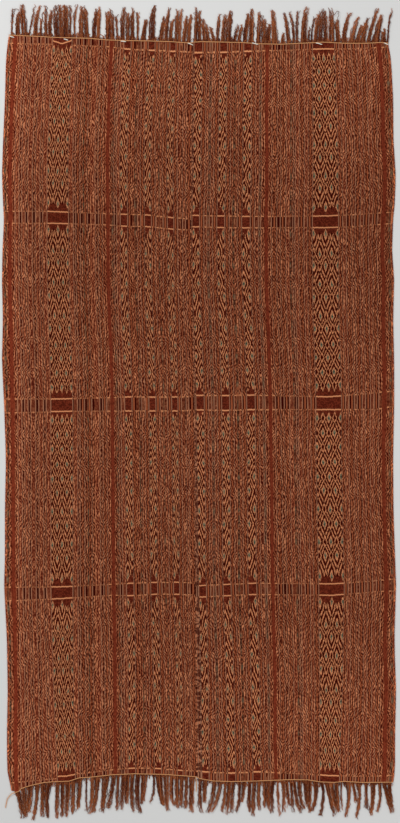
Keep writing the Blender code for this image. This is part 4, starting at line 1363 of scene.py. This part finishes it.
class IKATCLOTH_OT_cords(bpy.types.Operator):
    """Twist the pale cords along the four ends"""

    bl_idname = "ikatcloth.cords"
    bl_label = "Twist the end cords"

    def execute(self, context):
        settings = context.scene.ikat_cloth
        material = make_thread_material("Twining cord", settings.cord)
        tree = twist_tree()
        for end in ENDS:
            values = {"Radius": TWINING_RADIUS, "Pitch": settings.ply_pitch, "Material": material}
            cord = grow("cord_" + end, guide_mesh("cord_" + end, [twining_line(end)]), tree, values)
            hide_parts("twining_" + end)
            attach(cord, "root")
        return {"FINISHED"}


class IKATCLOTH_OT_sewing(bpy.types.Operator):
    """Sew the centre seam and the white tacks"""

    bl_idname = "ikatcloth.sewing"
    bl_label = "Sew the seam and tacks"

    def execute(self, context):
        tree = twist_tree()
        works = (
            ("seam_stitches", seam_lines(), SEAM_RADIUS, "Seam thread", SEAM_COLOUR),
            ("white_tacks", tack_lines(), TACK_RADIUS, "White thread", TACK_COLOUR),
        )
        for name, lines, radius, label, colour in works:
            material = make_thread_material(label, colour)
            values = {"Radius": radius, "Pitch": THREAD_PITCH, "Material": material}
            thread = grow(name, guide_mesh(name, lines), tree, values)
            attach(thread, "root")
        return {"FINISHED"}


class IKATCLOTH_OT_stage(bpy.types.Operator):
    """Set the floor, the lights and the camera"""

    bl_idname = "ikatcloth.stage"
    bl_label = "Set the stage"

    def execute(self, context):
        scene = context.scene
        material, shader = start_material("Pale floor", FLOOR_ROUGHNESS)[::2]
        shader.inputs["Base Color"].default_value = FLOOR_COLOUR
        mesh = bpy.data.meshes.new("floor")
        signs = ((-1.0, -1.0), (1.0, -1.0), (1.0, 1.0), (-1.0, 1.0))
        square = [(x * FLOOR_HALF, y * FLOOR_HALF, FLOOR_HEIGHT) for x, y in signs]
        mesh.from_pydata(square, [], [(0, 1, 2, 3)])
        mesh.materials.append(material)
        add_object("floor", mesh)
        world = bpy.data.worlds.new("Soft light")
        world.use_nodes = True
        background = world.node_tree.nodes["Background"]
        background.inputs["Color"].default_value = (1.0, 1.0, 1.0, 1.0)
        background.inputs["Strength"].default_value = WORLD_LIGHT
        scene.world = world
        for name, spot, energy, size in LIGHTS:
            light = bpy.data.lights.new(name, "AREA")
            light.energy = energy
            light.size = size
            lamp = bpy.data.objects.new(name, light)
            lamp.location = spot
            lamp.rotation_euler = (-Vector(spot)).to_track_quat("-Z", "Y").to_euler()
            scene.collection.objects.link(lamp)
        camera = bpy.data.cameras.new("Camera")
        camera.type = "PERSP"
        camera.sensor_fit = "VERTICAL"
        camera.sensor_height = FILM
        camera.lens = FILM * CAMERA_HEIGHT / (FRAME_COURSES * YARN)
        camera.clip_end = 100.0
        eye = bpy.data.objects.new("Camera", camera)
        eye.location = place(FRAME_COLUMNS / 2.0, FRAME_COURSES / 2.0, CAMERA_HEIGHT)
        scene.collection.objects.link(eye)
        scene.camera = eye
        scene.view_settings.view_transform = "Standard"
        return {"FINISHED"}


class IKATCLOTH_PT_panel(bpy.types.Panel):
    """Sidebar panel with the cloth's settings and steps"""

    bl_idname = "IKATCLOTH_PT_panel"
    bl_label = "Ikat cloth"
    bl_space_type = "VIEW_3D"
    bl_region_type = "UI"
    bl_category = "Cloth"

    def draw(self, context):
        for name in IkatClothSettings.__annotations__:
            self.layout.prop(context.scene.ikat_cloth, name)
        for operator in OPERATORS:
            self.layout.operator(operator.bl_idname)


OPERATORS = (
    IKATCLOTH_OT_panels, IKATCLOTH_OT_fringes, IKATCLOTH_OT_cords, IKATCLOTH_OT_sewing, IKATCLOTH_OT_stage,
)
CLASSES = (IkatClothSettings, *OPERATORS, IKATCLOTH_PT_panel)


def register():
    """Register the classes and the scene's settings."""
    for item in CLASSES:
        bpy.utils.register_class(item)
    bpy.types.Scene.ikat_cloth = bpy.props.PointerProperty(type=IkatClothSettings)


def unregister():
    """Take back what register made."""
    del bpy.types.Scene.ikat_cloth
    for item in reversed(CLASSES):
        bpy.utils.unregister_class(item)


def main():
    """Build the looks."""
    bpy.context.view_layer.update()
    register()
    bpy.ops.ikatcloth.panels()
    bpy.ops.ikatcloth.fringes()
    bpy.ops.ikatcloth.cords()
    bpy.ops.ikatcloth.sewing()
    bpy.ops.ikatcloth.stage()


if __name__ == "__main__":
    main()
